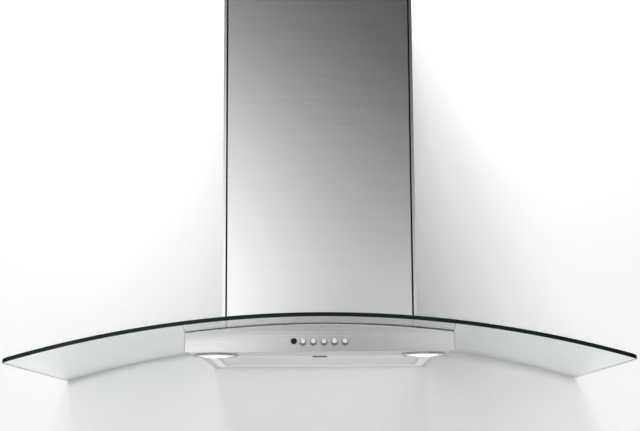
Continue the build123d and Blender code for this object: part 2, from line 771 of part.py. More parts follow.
def impeller():
    """A drum of forward-curved blades on both sides of a centre disc, with a ring at each end."""
    tip_angle = radians(blade_lean)
    root = Vector(impeller_inner_radius, 0)
    tip = Vector(cos(tip_angle), sin(tip_angle)) * impeller_radius
    chord = tip - root
    middle = (root + tip) * 0.5 + Vector(chord.Y, -chord.X).normalized() * blade_bow
    face = ThreePointArc(root, middle, tip)
    spread = degrees(blade_thickness / impeller_radius)
    back = Rot(0, 0, spread) * face
    ends = [Line(face @ 0, back @ 0), Line(face @ 1, back @ 1)]
    blade = make_face(Curve() + [face, back, *ends])
    blades = Sketch() + [Rot(0, 0, 360 * i / blade_count) * blade for i in range(blade_count)]
    ring = Circle(impeller_radius) - Circle(impeller_inner_radius)
    half = impeller_half_width
    drum = Pos(0, 0, -half) * extrude(blades, 2 * half)
    drum += Pos(0, 0, -half) * extrude(ring, impeller_ring_thickness)
    drum += Pos(0, 0, half - impeller_ring_thickness) * extrude(ring, impeller_ring_thickness)
    drum += Cylinder(impeller_radius, impeller_disc_thickness)
    drum += Cylinder(hub_radius, hub_length)
    drum -= Cylinder(shaft_radius + shaft_fit, 2 * hub_length)
    return Pos(0, blower_y, blower_z) * Rot(0, 90, 0) * drum


def motor_shaft():
    shaft = along_x(shaft_radius, -hub_length / 2 - shaft_end, motor_end_x + motor_bell_length + shaft_end)
    return Pos(0, blower_y, blower_z) * shaft


def motor():
    """A can with rounded ends and a bearing boss outside, bored for the shaft."""
    can = along_x(motor_radius, motor_start_x, motor_end_x)
    can = fillet(can.edges().filter_by(GeomType.CIRCLE), motor_edge_radius)
    can += along_x(motor_bell_radius, motor_end_x, motor_end_x + motor_bell_length)
    can -= along_x(shaft_radius + shaft_fit, 0, 2 * motor_end_x)
    return Pos(0, blower_y, blower_z) * can


def motor_spider():
    """A ring round the motor on three arms, each with a foot on the blower's side wall."""
    ring_outer = motor_radius + rest_gap + spider_wall
    ring_x = (arm_x + spider_arm_thickness - spider_length, arm_x + spider_arm_thickness)
    spider = along_x(ring_outer, *ring_x)
    foot = upright(spider_foot_radius, scroll_outer_width / 2, arm_x + spider_arm_thickness)
    for place in foot_places():
        spider += place * foot
    arm = block(
        (arm_x, arm_x + spider_arm_thickness),
        (-spider_arm_width / 2, spider_arm_width / 2),
        (motor_radius, foot_ring_radius),
    )
    spider += [Rot(360 * i / spider_arms, 0, 0) * arm for i in range(spider_arms)]
    spider -= along_x(motor_radius + rest_gap, 0, 2 * motor_end_x)
    screw_hole = upright(motor_screw_radius + screw_fit, 0, 2 * motor_end_x)
    spider -= [place * screw_hole for place in foot_places()]
    return Pos(0, blower_y, blower_z) * spider


def motor_screws():
    head_x = arm_x + spider_arm_thickness
    screw = upright(motor_screw_radius, scroll_width / 2 + rest_gap, head_x)
    screw += upright(motor_screw_head_radius, head_x, head_x + motor_screw_head_height)
    return Compound(children=[Pos(0, blower_y, blower_z) * place * screw for place in foot_places()])


def collar_screw_places():
    offset = collar_screw_offset
    return [Pos(x, outlet_y + y, airbox_top_z) for x in (-offset, offset) for y in (-offset, offset)]


def outlet_collar():
    """A square base, a round spigot for a duct and a ledge on which the closed flaps lie."""
    bore = collar_radius - collar_wall
    base = RectangleRounded(collar_base_size, collar_base_size, collar_base_corner_radius)
    collar = extrude(base, collar_base_thickness)
    collar += upright(collar_radius, 0, collar_base_thickness + collar_height)
    collar -= upright(bore, -sheet, 2 * collar_height)
    ledge_top = flap_rise - flap_thickness / 2 - rest_gap
    ledge = upright(bore, ledge_top - ledge_thickness, ledge_top)
    ledge -= upright(bore - ledge_width, 0, collar_height)
    notch = flap_knuckle_radius + running_gap
    ledge -= block((-notch, notch), (-2 * bore, 2 * bore), (0, collar_height))
    collar += ledge
    pin_hole = Rot(90, 0, 0) * Cylinder(flap_pin_radius + shaft_fit, 4 * collar_radius)
    collar -= Pos(0, 0, flap_rise) * pin_hole
    collar = Pos(0, outlet_y, airbox_top_z) * collar
    hole = Cylinder(collar_screw_radius + screw_fit, 4 * collar_base_thickness)
    return collar - [place * hole for place in collar_screw_places()]


def collar_screws():
    top = collar_base_thickness
    screw = upright(collar_screw_radius, -sheet, top)
    screw += upright(collar_screw_head_radius, top, top + collar_screw_head_height)
    return Compound(children=[place * screw for place in collar_screw_places()])


def flap_pin():
    pin = Cylinder(flap_pin_radius, 2 * collar_radius - collar_wall)
    return Pos(0, outlet_y, flap_z) * Rot(90, 0, 0) * pin


def back_draught_flap(side):
    """Half a disc that turns on the pin. Its knuckles take turns with those of the other flap."""
    plate_start = flap_knuckle_radius + running_gap
    plate = Circle(flap_radius) & plan((plate_start, flap_radius), (-flap_radius, flap_radius))
    flap = Pos(0, 0, -flap_thickness / 2) * extrude(plate, flap_thickness)
    run = 2 * (flap_radius - flap_knuckle_end) / flap_knuckles
    first = 0 if side > 0 else 1
    for i in range(first, flap_knuckles, 2):
        low = flap_knuckle_end - flap_radius + run * i + flap_knuckle_gap / 2
        high = low + run - flap_knuckle_gap
        flap += Pos(0, (low + high) / 2, 0) * Rot(90, 0, 0) * Cylinder(flap_knuckle_radius, high - low)
        flap += block((0, plate_start), (low, high), (-flap_thickness / 2, flap_thickness / 2))
    flap -= Rot(90, 0, 0) * Cylinder(flap_pin_radius + flap_pin_gap, 4 * flap_radius)
    if side < 0:
        flap = mirror(flap, Plane.YZ)
    return Pos(0, outlet_y, flap_z) * flap


def terminal_box():
    """A moulded box for the supply's wires, with a hole in its lid for the gland."""
    size = (terminal_box_width, terminal_box_depth, terminal_box_height)
    box = Box(*size)
    box = fillet(box.edges().filter_by(Axis.Z), terminal_box_edge_radius)
    box -= Box(*[length - 2 * terminal_box_wall for length in size])
    gland_hole = Cylinder(gland_body_radius + screw_fit, 4 * terminal_box_wall)
    box -= Pos(0, 0, terminal_box_height / 2) * gland_hole
    return Pos(terminal_box_x, terminal_box_y, airbox_top_z + terminal_box_height / 2) * box


def cable_gland():
    """A threaded body through the lid, a hexagon on it and a domed cap with the cable's bore."""
    gland = upright(gland_body_radius, -gland_body_length, 0)
    gland += extrude(RegularPolygon(gland_hex_radius, 6), gland_hex_height)
    cap = upright(gland_cap_radius, gland_hex_height, gland_hex_height + gland_cap_height)
    gland += fillet(cap.edges().sort_by(Axis.Z)[-1:], gland_cap_edge_radius)
    gland -= Cylinder(gland_bore_radius, 4 * (gland_hex_height + gland_cap_height))
    return Pos(terminal_box_x, terminal_box_y, gland_z) * gland


def capacitor_place():
    return Pos(capacitor_inset - airbox_width / 2, airbox_back_y - capacitor_inset, airbox_top_z)


def run_capacitor():
    can = upright(capacitor_radius, 0, capacitor_height)
    return capacitor_place() * fillet(can.edges().sort_by(Axis.Z)[-1:], capacitor_edge_radius)


def capacitor_clamp():
    inner = capacitor_radius + screw_fit
    ring = upright(inner + clamp_ring_wall, 0, clamp_ring_height)
    return capacitor_place() * (ring - upright(inner, -sheet, 2 * clamp_ring_height))


def chimney_piece(outline):
    """An outline in plan, from the glass up to the lower chimney's top."""
    column = Pos(0, 0, crown_z - body_height) * extrude(outline, chimney_top_z - crown_z + body_height)
    return column - bend_cylinder(chimney_bottom_radius)


def chimney_front_panel():
    half_width = front_panel_half_width
    outline = plan((-half_width, half_width), (-chimney_depth, lip_front_y))
    inner_x = half_width - chimney_sheet
    return chimney_piece(outline - plan((-inner_x, inner_x), (chimney_sheet - chimney_depth, lip_front_y)))


def chimney_side(side):
    """A side wall whose front edge folds in, then back along the seam, then in again behind the panel."""
    front_y = -chimney_depth
    wall = plan((chimney_inner_x, chimney_width / 2), (front_y, -wall_gap))
    strip = plan((strip_inner_x, chimney_width / 2), (front_y, front_y + chimney_sheet))
    lip_back_y = lip_front_y + chimney_sheet
    seam = plan((strip_inner_x, strip_inner_x + chimney_sheet), (front_y, lip_back_y))
    lip = plan((strip_inner_x - chimney_lip, strip_inner_x), (lip_front_y, lip_back_y))
    outline = wall + strip + seam + lip
    if side < 0:
        outline = mirror(outline, Plane.YZ)
    return chimney_piece(outline) - chimney_screw_holes(side, chimney_inner_x - sheet, chimney_width)


def chimney_screw_places(side):
    """Places on the hood's mid plane whose +Z points out through a chimney side at a screw."""
    offsets = (-chimney_screw_spacing / 2, chimney_screw_spacing / 2)
    turn = Rot(0, side * 90, 0)
    return [Pos(0, clamp_mid_y + y, crown_z + chimney_screw_rise) * turn for y in offsets]


def chimney_screw_holes(side, low, high):
    hole = upright(chimney_screw_radius + screw_fit, low, high)
    return [place * hole for place in chimney_screw_places(side)]


def chimney_bracket(side):
    """A foot on the air box's flange and a leg up the inside of the chimney's side."""
    y_range = (clamp_mid_y - bracket_length / 2, clamp_mid_y + bracket_length / 2)
    foot_start = airbox_width / 2 + sheet
    leg_start = chimney_inner_x - bracket_sheet
    bracket = bent_sheet(plan((foot_start, chimney_inner_x), y_range), flange_top_radius, bracket_sheet)
    leg = block((leg_start, chimney_inner_x), y_range, (crown_z - body_height, crown_z + bracket_height))
    bracket += leg - bend_cylinder(flange_top_radius)
    bracket -= chimney_screw_holes(1, leg_start - sheet, chimney_width)
    return bracket if side > 0 else mirror(bracket, Plane.YZ)


def chimney_screws():
    outside = chimney_width / 2
    screw = upright(chimney_screw_radius, chimney_inner_x - bracket_sheet, outside)
    head = upright(chimney_screw_head_radius, outside, outside + chimney_screw_head_height)
    screw += fillet(head.edges().sort_by(Axis.Z)[-1:], chimney_screw_head_height / 2)
    return Compound(children=[place * screw for side in (-1, 1) for place in chimney_screw_places(side)])


def upper_chimney():
    """A folded sleeve, open at the back, with air slots near the top of both sides."""
    half_width = upper_half_width
    outline = plan((-half_width, half_width), (upper_front_y, upper_back_y))
    outline -= plan((-upper_inner_x, upper_inner_x), (upper_front_y + chimney_sheet, upper_back_y))
    sleeve = Pos(0, 0, upper_top_z - upper_length) * extrude(outline, upper_length)
    slots = GridLocations(vent_pitch_y, vent_pitch_z, vent_columns, vent_rows).locations
    slot = SlotOverall(vent_slot_length, vent_slot_height)
    middle = Pos(-chimney_width, (upper_front_y + upper_back_y) / 2, upper_top_z - vent_drop)
    sleeve -= [middle * extrude(Plane.YZ * (place * slot), 2 * chimney_width) for place in slots]
    return sleeve - upper_screw_holes()


def upper_screw_places():
    """Places on the hood's mid plane whose +Z points out through an upper chimney side at a screw."""
    return [Pos(0, -upper_screw_inset, strap_z) * Rot(0, side * 90, 0) for side in (-1, 1)]


def upper_screw_holes():
    hole = upright(chimney_screw_radius + screw_fit, upper_inner_x - 2 * strap_sheet, chimney_width / 2)
    return [place * hole for place in upper_screw_places()]


def upper_wall_strap():
    """A strap on the wall whose ends turn forward along the insides of the upper chimney."""
    z_range = (strap_z - strap_height / 2, strap_z + strap_height / 2)
    strap = block((-upper_inner_x, upper_inner_x), (-strap_tab, 0), z_range)
    inner_x = upper_inner_x - strap_sheet
    strap -= block((-inner_x, inner_x), (-2 * strap_tab, -strap_sheet), z_range)
    hole = Rot(90, 0, 0) * Cylinder(strap_hole_radius, 4 * strap_sheet)
    strap -= [Pos(x, 0, strap_z) * hole for x in (-strap_hole_spacing / 2, strap_hole_spacing / 2)]
    return strap - upper_screw_holes()


def upper_chimney_screws():
    screw = upright(chimney_screw_radius, upper_inner_x - strap_sheet, upper_half_width)
    head_top = upper_half_width + upper_screw_head_height
    screw += upright(chimney_screw_head_radius, upper_half_width, head_top)
    return Compound(children=[place * screw for place in upper_screw_places()])


def all_parts():
    parts = {"button_" + name: push_button(x) for name, x in zip(button_names, button_xs)}
    for name, side in (("left", -1), ("right", 1)):
        parts["lamp_bezel_" + name] = lamp_bezel(side)
        parts["lamp_lens_" + name] = lamp_lens(side)
        parts["lamp_housing_" + name] = lamp_housing(side)
        parts["blower_housing_" + name] = blower_housing(side)
        parts["flap_" + name] = back_draught_flap(side)
        parts["chimney_side_" + name] = chimney_side(side)
        parts["chimney_bracket_" + name] = chimney_bracket(side)
    singles = (
        glass_canopy, glass_seal_lower, glass_seal_upper, body_shell, control_fascia, sensor_window,
        button_carrier, control_board, tact_switches, filter_frame, filter_mesh, filter_latch,
        filter_pivot_pins, filter_pivot_lugs, airbox, wall_plate, clamp_bolts, clamp_nuts,
        outlet_transition, impeller, motor_shaft, motor, motor_spider, motor_screws, outlet_collar,
        collar_screws, flap_pin, terminal_box, cable_gland, run_capacitor, capacitor_clamp,
        chimney_front_panel, chimney_screws, upper_chimney, upper_wall_strap, upper_chimney_screws,
    )
    parts.update({make.__name__: make() for make in singles})
    return parts


os.makedirs("parts", exist_ok=True)
for node, shape in all_parts().items():
    export_step(shape, f"parts/{node}.step")
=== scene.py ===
import math

import bmesh
import bpy
import numpy as np
from mathutils import Euler, Matrix, Vector
from mathutils.geometry import delaunay_2d_cdt


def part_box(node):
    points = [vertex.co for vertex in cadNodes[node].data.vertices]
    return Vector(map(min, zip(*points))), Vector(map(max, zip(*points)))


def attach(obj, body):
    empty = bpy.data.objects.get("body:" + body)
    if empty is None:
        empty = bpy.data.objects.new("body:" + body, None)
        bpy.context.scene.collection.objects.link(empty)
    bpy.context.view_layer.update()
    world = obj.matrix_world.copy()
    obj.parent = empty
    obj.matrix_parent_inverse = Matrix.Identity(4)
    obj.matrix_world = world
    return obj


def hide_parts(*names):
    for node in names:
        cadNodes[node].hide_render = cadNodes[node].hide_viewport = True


# The hood in metres: +X right, +Y into the wall, +Z up, the wall at Y = 0.
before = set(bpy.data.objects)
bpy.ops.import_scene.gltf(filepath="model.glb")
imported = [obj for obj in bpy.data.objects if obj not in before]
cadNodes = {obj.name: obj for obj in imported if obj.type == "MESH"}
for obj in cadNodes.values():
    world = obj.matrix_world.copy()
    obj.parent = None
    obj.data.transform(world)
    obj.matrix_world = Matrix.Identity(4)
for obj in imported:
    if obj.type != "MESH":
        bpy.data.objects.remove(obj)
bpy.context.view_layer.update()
scene = bpy.context.scene
scene.view_settings.view_transform = "Standard"
print("frame loaded,", len(cadNodes), "nodes")

cameraSet = {
    "place": (0.0086, -2.3017, -0.3384),
    "pitch": 9.090,  # degrees, as the next two
    "yaw": 0.205,
    "roll": -0.351,
    "lens": 72.63,
    "sensor": 36.0,
    "shiftY": 0.045,
}


def makeCamera(c):
    # level towards the wall, pitched up and yawed, then rolled about its own axis
    data = bpy.data.cameras.new("hoodCamera")
    data.lens = c["lens"]
    data.sensor_width = c["sensor"]
    data.shift_y = c["shiftY"]
    cam = bpy.data.objects.new("hoodCamera", data)
    aim = Euler((math.radians(90.0 + c["pitch"]), 0.0, math.radians(c["yaw"]))).to_matrix()
    turn = aim @ Matrix.Rotation(math.radians(c["roll"]), 3, "Z")
    cam.matrix_world = Matrix.Translation(c["place"]) @ turn.to_4x4()
    scene.collection.objects.link(cam)
    scene.camera = cam


makeCamera(cameraSet)

lightSet = [
    # name, place, looks at, width, height, watts
    ("highLeft", (-0.9, -1.6, 2.9), (0.0, 0.0, 0.0), 0.7, 0.7, 37.0),
    ("overhead", (0.1, -0.5, 1.72), (0.0, 0.0, 0.0), 0.5, 0.4, 22.0),
    ("frontLeft", (-1.2, -2.2, 0.25), (0.0, -0.2, -0.1), 1.2, 1.2, 3.2),
    ("footLight", (0.45, -0.6, -0.9), (0.3, 0.0, -0.3), 1.6, 0.2, 1.15),
    ("rearFill", (0.8, 2.8, 2.2), (0.0, 0.0, 0.1), 2.4, 2.4, 26.0),
]


def makeLights(rows):
    for name, place, target, width, height, watts in rows:
        data = bpy.data.lights.new(name, "AREA")
        data.shape = "RECTANGLE"
        data.size = width
        data.size_y = height
        data.energy = watts
        lamp = bpy.data.objects.new(name, data)
        lamp.location = place
        lamp.rotation_euler = (Vector(target) - Vector(place)).to_track_quat("-Z", "Y").to_euler()
        scene.collection.objects.link(lamp)


makeLights(lightSet)
print("camera and lights made")

# Shader helpers.
noiseSpan = (0.3, 0.7)  # most of a noise lies between these


def addNode(tree, kind, values=None, **settings):
    # values are socket names with a number, a colour or another node's output
    made = tree.nodes.new(kind)
    for key, setting in settings.items():
        setattr(made, key, setting)
    for key, value in (values or {}).items():
        socket = made.inputs[key]
        if isinstance(value, bpy.types.NodeSocket):
            tree.links.new(value, socket)
        else:
            socket.default_value = value
    return made


def newFinish(name, sockets=None):
    # sockets hold what is the same all over the surface
    mat = bpy.data.materials.new(name)
    mat.use_nodes = True
    shader = mat.node_tree.nodes["Principled BSDF"]
    for key, value in (sockets or {}).items():
        shader.inputs[key].default_value = value
    return mat, mat.node_tree, shader


def feed(tree, shader, sockets):
    for key, output in sockets.items():
        tree.links.new(output, shader.inputs[key])


def grey(tone):
    return (tone, tone, tone, 1.0)


def shaded(colour, factor):
    return tuple(min(1.0, factor * c) for c in colour)


def objectPattern(tree, scale=(1.0, 1.0, 1.0)):
    place = addNode(tree, "ShaderNodeTexCoord").outputs["Object"]
    return addNode(tree, "ShaderNodeMapping", {"Vector": place, "Scale": scale}).outputs["Vector"]


def objectPlace(tree):
    return addNode(tree, "ShaderNodeSeparateXYZ", {"Vector": objectPattern(tree)}).outputs


def noise(tree, vector, scale=1.0, detail=4.0, rough=0.55):
    return addNode(tree, "ShaderNodeTexNoise",
                   {"Vector": vector, "Scale": scale, "Detail": detail, "Roughness": rough}).outputs[0]


def maths(tree, operation, *terms):
    return addNode(tree, "ShaderNodeMath", dict(enumerate(terms)), operation=operation).outputs[0]


def plus(tree, a, b, shareB):
    # a + shareB * b
    return maths(tree, "ADD", a, maths(tree, "MULTIPLY", b, shareB))


def spread(tree, value, low, high, span=noiseSpan, kind="LINEAR"):
    # low to high as the value crosses the span
    return addNode(tree, "ShaderNodeMapRange",
                   {"Value": value, "From Min": span[0], "From Max": span[1], "To Min": low, "To Max": high},
                   interpolation_type=kind).outputs["Result"]


def tones(tree, value, dark, light, span=noiseSpan):
    ramp = addNode(tree, "ShaderNodeValToRGB", {"Fac": value})
    for stop, at, colour in zip(ramp.color_ramp.elements, span, (dark, light)):
        stop.position = at
        stop.color = (*colour, 1.0)
    return ramp.outputs["Color"]


def bump(tree, height, strength, distance):
    return addNode(tree, "ShaderNodeBump",
                   {"Height": height, "Strength": strength, "Distance": distance}).outputs["Normal"]


def mixTones(tree, share, first, second, blend="MIX"):
    return addNode(tree, "ShaderNodeMixRGB", {0: share, 1: first, 2: second}, blend_type=blend).outputs[0]


def mixShaders(tree, share, first, second):
    return addNode(tree, "ShaderNodeMixShader", {0: share, 1: first.outputs[0], 2: second.outputs[0]})


def surface(tree, shader, value, dark, light, gloss, relief=None, span=noiseSpan):
    # tone, roughness and relief (strength, distance) from one value
    feed(tree, shader, {"Base Color": tones(tree, value, dark, light, span),
                        "Roughness": spread(tree, value, *gloss, span)})
    if relief:
        feed(tree, shader, {"Normal": bump(tree, value, *relief)})


# Mesh helpers.
seamMerge = 1e-7  # points nearer than this are one


def gridFaces(rows, columns, closeRows=False, closeColumns=False):
    # quads of a grid of points stored row by row
    r = np.arange(rows if closeRows else rows - 1)
    c = np.arange(columns if closeColumns else columns - 1)
    r, c = [a.ravel() for a in np.meshgrid(r, c, indexing="ij")]
    r2, c2 = (r + 1) % rows, (c + 1) % columns
    return np.stack([r * columns + c, r2 * columns + c, r2 * columns + c2, r * columns + c2], axis=1)


def newPiece(name, points, faces, finishes, finishIndex=None, normals=None):
    mesh = bpy.data.meshes.new(name)
    mesh.from_pydata(points.tolist(), [], faces)
    mesh.polygons.foreach_set("use_smooth", np.ones(len(mesh.polygons), bool))
    if finishIndex is not None:
        mesh.polygons.foreach_set("material_index", np.asarray(finishIndex, np.int32))
    for finish in finishes:
        mesh.materials.append(finish)
    mesh.update()
    if normals is not None:
        mesh.normals_split_custom_set_from_vertices(normals.tolist())
    piece = bpy.data.objects.new(name, mesh)
    scene.collection.objects.link(piece)
    return piece


def faceOutwards(piece, merge=0.0):
    # closes poles and seams where a merge distance is given, then points the faces outwards
    work = bmesh.new()
    work.from_mesh(piece.data)
    if merge > 0.0:
        bmesh.ops.remove_doubles(work, verts=work.verts, dist=merge)
    bmesh.ops.recalc_face_normals(work, faces=work.faces)
    work.to_mesh(piece.data)
    work.free()


def lathe(name, profile, centre, axis, steps, finishes, finishIndex=None, sharpAngle=32.0):
    # a profile of (radius, height) carried round an axis: p = centre + radius * spoke(turn) + height * axis
    # the axis is a unit vector square to X
    axis = np.asarray(axis, float)
    side = np.cross(axis, (1.0, 0.0, 0.0))
    turn = np.linspace(0.0, 2.0 * np.pi, steps, endpoint=False)
    spokes = np.cos(turn)[:, None] * side + np.sin(turn)[:, None] * np.cross(axis, side)
    points = np.asarray(centre) + spokes[:, None] * profile[None, :, :1] + profile[None, :, 1:] * axis
    faces = gridFaces(steps, len(profile), closeRows=True)
    index = None if finishIndex is None else np.tile(finishIndex, steps)
    piece = newPiece(name, points.reshape(-1, 3), faces.tolist(), finishes, index)
    faceOutwards(piece, seamMerge)
    piece.data.set_sharp_from_angle(angle=math.radians(sharpAngle))
    return piece


def arc(centre, radius, start, end, count):
    # points on an arc in the plane of a profile, angles in degrees
    a = np.radians(np.linspace(start, end, count))
    return np.stack([centre[0] + radius * np.cos(a), centre[1] + radius * np.sin(a)], axis=1)


def capRadius(halfWidth, height):
    # radius of the sphere that a shallow cap is cut from: (halfWidth^2 + height^2) / (2 * height)
    return (halfWidth ** 2 + height ** 2) / (2 * height)


# Finishes, each with its own values above it.
# painted shade for the chimney's seams: where it lies and how dark
chimneySeamShade = {"middle": 0.1431, "half": 0.0076, "behind": -0.2645, "before": -0.2556, "facing": -0.5,
               "tone": 0.012}


def paintedSeamShade(tree, tone):
    # painted shade in the joint of two panels, where the gap's shadow falls: faces to the front where ||x| -
    # middle| < half and behind < y < before
    s = chimneySeamShade
    place = objectPlace(tree)
    normal = addNode(tree, "ShaderNodeNewGeometry").outputs["True Normal"]
    lean = addNode(tree, "ShaderNodeSeparateXYZ", {"Vector": normal}).outputs["Y"]
    inside = maths(tree, "COMPARE", maths(tree, "ABSOLUTE", place["X"]), s["middle"], s["half"])
    behind = maths(tree, "GREATER_THAN", place["Y"], s["behind"])
    before = maths(tree, "LESS_THAN", place["Y"], s["before"])
    forward = maths(tree, "LESS_THAN", lean, s["facing"])
    depth = maths(tree, "MULTIPLY", behind, before)
    share = maths(tree, "MULTIPLY", depth, maths(tree, "MULTIPLY", forward, inside))
    return mixTones(tree, share, tone, grey(s["tone"]))


fasciaOverhang = {"upY": -0.4, "upZ": 0.92, "reach": 0.005, "below": -0.168, "tone": 0.1, "span": (0.28, 0.67),
                  "samples": 16}


def shadeUnder(tree, tone):
    # painted shade in the base colour under what stands out of it, such as the buttons: occlusion towards up
    # darkens the tone, as brushed steel scatters light up and down
    s = fasciaOverhang
    up = addNode(tree, "ShaderNodeCombineXYZ", {"Y": s["upY"], "Z": s["upZ"]}).outputs[0]
    free = addNode(tree, "ShaderNodeAmbientOcclusion", {"Distance": s["reach"], "Normal": up},
                   samples=s["samples"]).outputs["AO"]
    high = maths(tree, "GREATER_THAN", objectPlace(tree)["Z"], s["below"])
    share = spread(tree, maths(tree, "MAXIMUM", free, high), s["tone"], 1.0, s["span"])
    return mixTones(tree, 1.0, tone, share, "MULTIPLY")


latchSlotShade = {"lip": 0.0014, "tone": 0.2}


def paintedSlotShade(tree, tone):
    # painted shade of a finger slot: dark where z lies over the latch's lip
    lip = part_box("filter_latch")[0].z + latchSlotShade["lip"]
    share = maths(tree, "GREATER_THAN", objectPlace(tree)["Z"], lip)
    return mixTones(tree, share, tone, grey(latchSlotShade["tone"]))


scratches = {
    "turn": 0.25,
    "fine": 4.3,  # how much closer the fine scratches lie
    "fineShare": 0.5,
    "toneSpan": (0.45, 1.05),
    "cloud": (5.0, 5.0, 5.0),
    "cloudShare": 0.35,
    "gloss": (-0.02, 0.03),  # added to the roughness
    "glossSpan": (0.6, 1.25),
    "relief": (0.01, 0.00001),
}


def brushedSteel(name, colour, grain, rough, contrast=0.06, stretch=0.0, shade=None):
    # fine scratches: noise drawn out along the grain, in tone, roughness and height
    s = scratches
    mat, tree, shader = newFinish(name, {"Metallic": 1.0, "Anisotropic": stretch,
                                         "Anisotropic Rotation": s["turn"]})
    streak = noise(tree, objectPattern(tree, grain), detail=6.0, rough=0.7)
    fine = noise(tree, objectPattern(tree, tuple(s["fine"] * g for g in grain)), detail=3.0, rough=0.6)
    cloud = noise(tree, objectPattern(tree, s["cloud"]), detail=3.0, rough=0.5)
    mixed = plus(tree, streak, fine, s["fineShare"])
    worn = plus(tree, mixed, cloud, s["cloudShare"])
    tone = tones(tree, mixed, shaded(colour, 1.0 - contrast), shaded(colour, 1.0 + contrast), s["toneSpan"])
    if shade:
        tone = shade(tree, tone)
    less, more = s["gloss"]
    feed(tree, shader, {"Base Color": tone,
                        "Roughness": spread(tree, worn, rough + less, rough + more, s["glossSpan"]),
                        "Normal": bump(tree, mixed, *s["relief"])})
    return mat


spangle = {"grain": 900.0, "grainShare": 0.4, "span": (0.2, 1.2), "dark": 0.91, "light": 1.07,
           "gloss": (-0.08, 0.1), "relief": (0.15, 0.00005)}


def sheetMetal(name, colour, rough, cell):
    # zinc spangle: flat crystals of differing tone under a fine grain
    s = spangle
    mat, tree, shader = newFinish(name, {"Metallic": 1.0})
    where = objectPattern(tree)
    crystal = addNode(tree, "ShaderNodeTexVoronoi", {"Vector": where, "Scale": 1.0 / cell}).outputs["Color"]
    tone = addNode(tree, "ShaderNodeSeparateColor", {"Color": crystal}).outputs[0]
    grain = noise(tree, where, s["grain"], detail=3.0, rough=0.6)
    mixed = plus(tree, tone, grain, s["grainShare"])
    less, more = s["gloss"]
    surface(tree, shader, mixed, shaded(colour, s["dark"]), shaded(colour, s["light"]),
            (rough + less, rough + more), span=s["span"])
    feed(tree, shader, {"Normal": bump(tree, grain, *s["relief"])})
    return mat


mould = {"cloud": 22.0, "dark": 0.88, "light": 1.1, "gloss": (-0.06, 0.08), "relief": (0.25, 0.0001)}


def moulded(name, colour, rough, pore):
    # moulded plastic: a fine sparked texture and a slight unevenness of tone
    s = mould
    mat, tree, shader = newFinish(name)
    where = objectPattern(tree)
    spark = noise(tree, where, 1.0 / pore, detail=4.0, rough=0.6)
    cloud = noise(tree, where, s["cloud"], detail=3.0, rough=0.5)
    less, more = s["gloss"]
    feed(tree, shader, {"Base Color": tones(tree, cloud, shaded(colour, s["dark"]), shaded(colour, s["light"])),
                        "Roughness": spread(tree, spark, rough + less, rough + more),
                        "Normal": bump(tree, spark, *s["relief"])})
    return mat


spun = {"dark": 0.9, "light": 1.06, "gloss": (-0.04, 0.06), "relief": (0.08, 0.00005)}


def spunMetal(name, colour, rough, grain):
    # turned or spun metal: a fine even noise in tone, roughness and height
    s = spun
    mat, tree, shader = newFinish(name, {"Metallic": 1.0})
    line = noise(tree, objectPattern(tree, (grain, grain, grain)), detail=5.0, rough=0.65)
    less, more = s["gloss"]
    surface(tree, shader, line, shaded(colour, s["dark"]), shaded(colour, s["light"]),
            (rough + less, rough + more), s["relief"])
    return mat


sheetGlass = {"index": 1.5, "tint": (0.77, 0.835, 0.805, 1.0), "shadow": (0.76, 0.785, 0.775, 1.0),
              "marks": (9.0, 9.0, 9.0), "markGloss": (0.0, 0.035), "markSpan": (0.5, 0.8)}


def clearGlass():
    # float glass: clear faces with a faint green, a few finger marks in the gloss; lamps shine through it
    s = sheetGlass
    mat, tree, shader = newFinish("clearGlass", {"IOR": s["index"], "Base Color": s["tint"],
                                                 "Transmission Weight": 1.0})
    marks = noise(tree, objectPattern(tree, s["marks"]), detail=5.0, rough=0.6)
    feed(tree, shader, {"Roughness": spread(tree, marks, *s["markGloss"], s["markSpan"])})
    through = addNode(tree, "ShaderNodeBsdfTransparent", {"Color": s["shadow"]})
    path = addNode(tree, "ShaderNodeLightPath").outputs
    mixed = mixShaders(tree, path["Is Shadow Ray"], shader, through)
    mixed = mixShaders(tree, path["Is Diffuse Ray"], mixed, through)
    tree.links.new(mixed.outputs[0], tree.nodes["Material Output"].inputs["Surface"])
    return mat


edgeGlass = {"index": 1.52, "specular": 0.12, "grain": (14.0, 14.0, 260.0), "gloss": (0.08, 0.2),
             "dark": (0.003, 0.012, 0.010), "light": (0.008, 0.028, 0.023)}


def glassEdge():
    # the polished edge, where the light that comes through has crossed the whole sheet
    s = edgeGlass
    mat, tree, shader = newFinish("glassEdge", {"IOR": s["index"], "Specular IOR Level": s["specular"]})
    depth = noise(tree, objectPattern(tree, s["grain"]), detail=4.0, rough=0.6)
    surface(tree, shader, depth, s["dark"], s["light"], s["gloss"])
    return mat


lacquer = {"metal": 0.1, "coat": 0.25, "coatRough": 0.2, "flake": 3500.0, "gloss": (0.3, 0.42)}


def satinButton(name, dark, light, glow):
    # silver lacquer over plastic: fine flakes, with a painted glow on the face, emission that stands in for light
    s = lacquer
    mat, tree, shader = newFinish(name, {"Metallic": s["metal"], "Coat Weight": s["coat"],
                                         "Coat Roughness": s["coatRough"], "Emission Color": grey(1.0),
                                         "Emission Strength": glow})
    flake = noise(tree, objectPattern(tree), s["flake"], detail=2.0, rough=0.5)
    surface(tree, shader, flake, dark, light, s["gloss"])
    return mat


smoked = {"index": 1.5, "specular": 0.2, "grain": 700.0, "gloss": (0.05, 0.12),
          "dark": (0.006, 0.005, 0.006), "light": (0.014, 0.010, 0.012)}


def darkWindow():
    # smoked plastic: nearly black, with a fine unevenness
    s = smoked
    mat, tree, shader = newFinish("darkWindow", {"IOR": s["index"], "Specular IOR Level": s["specular"]})
    depth = noise(tree, objectPattern(tree), s["grain"], detail=3.0, rough=0.5)
    surface(tree, shader, depth, s["dark"], s["light"], s["gloss"])
    return mat


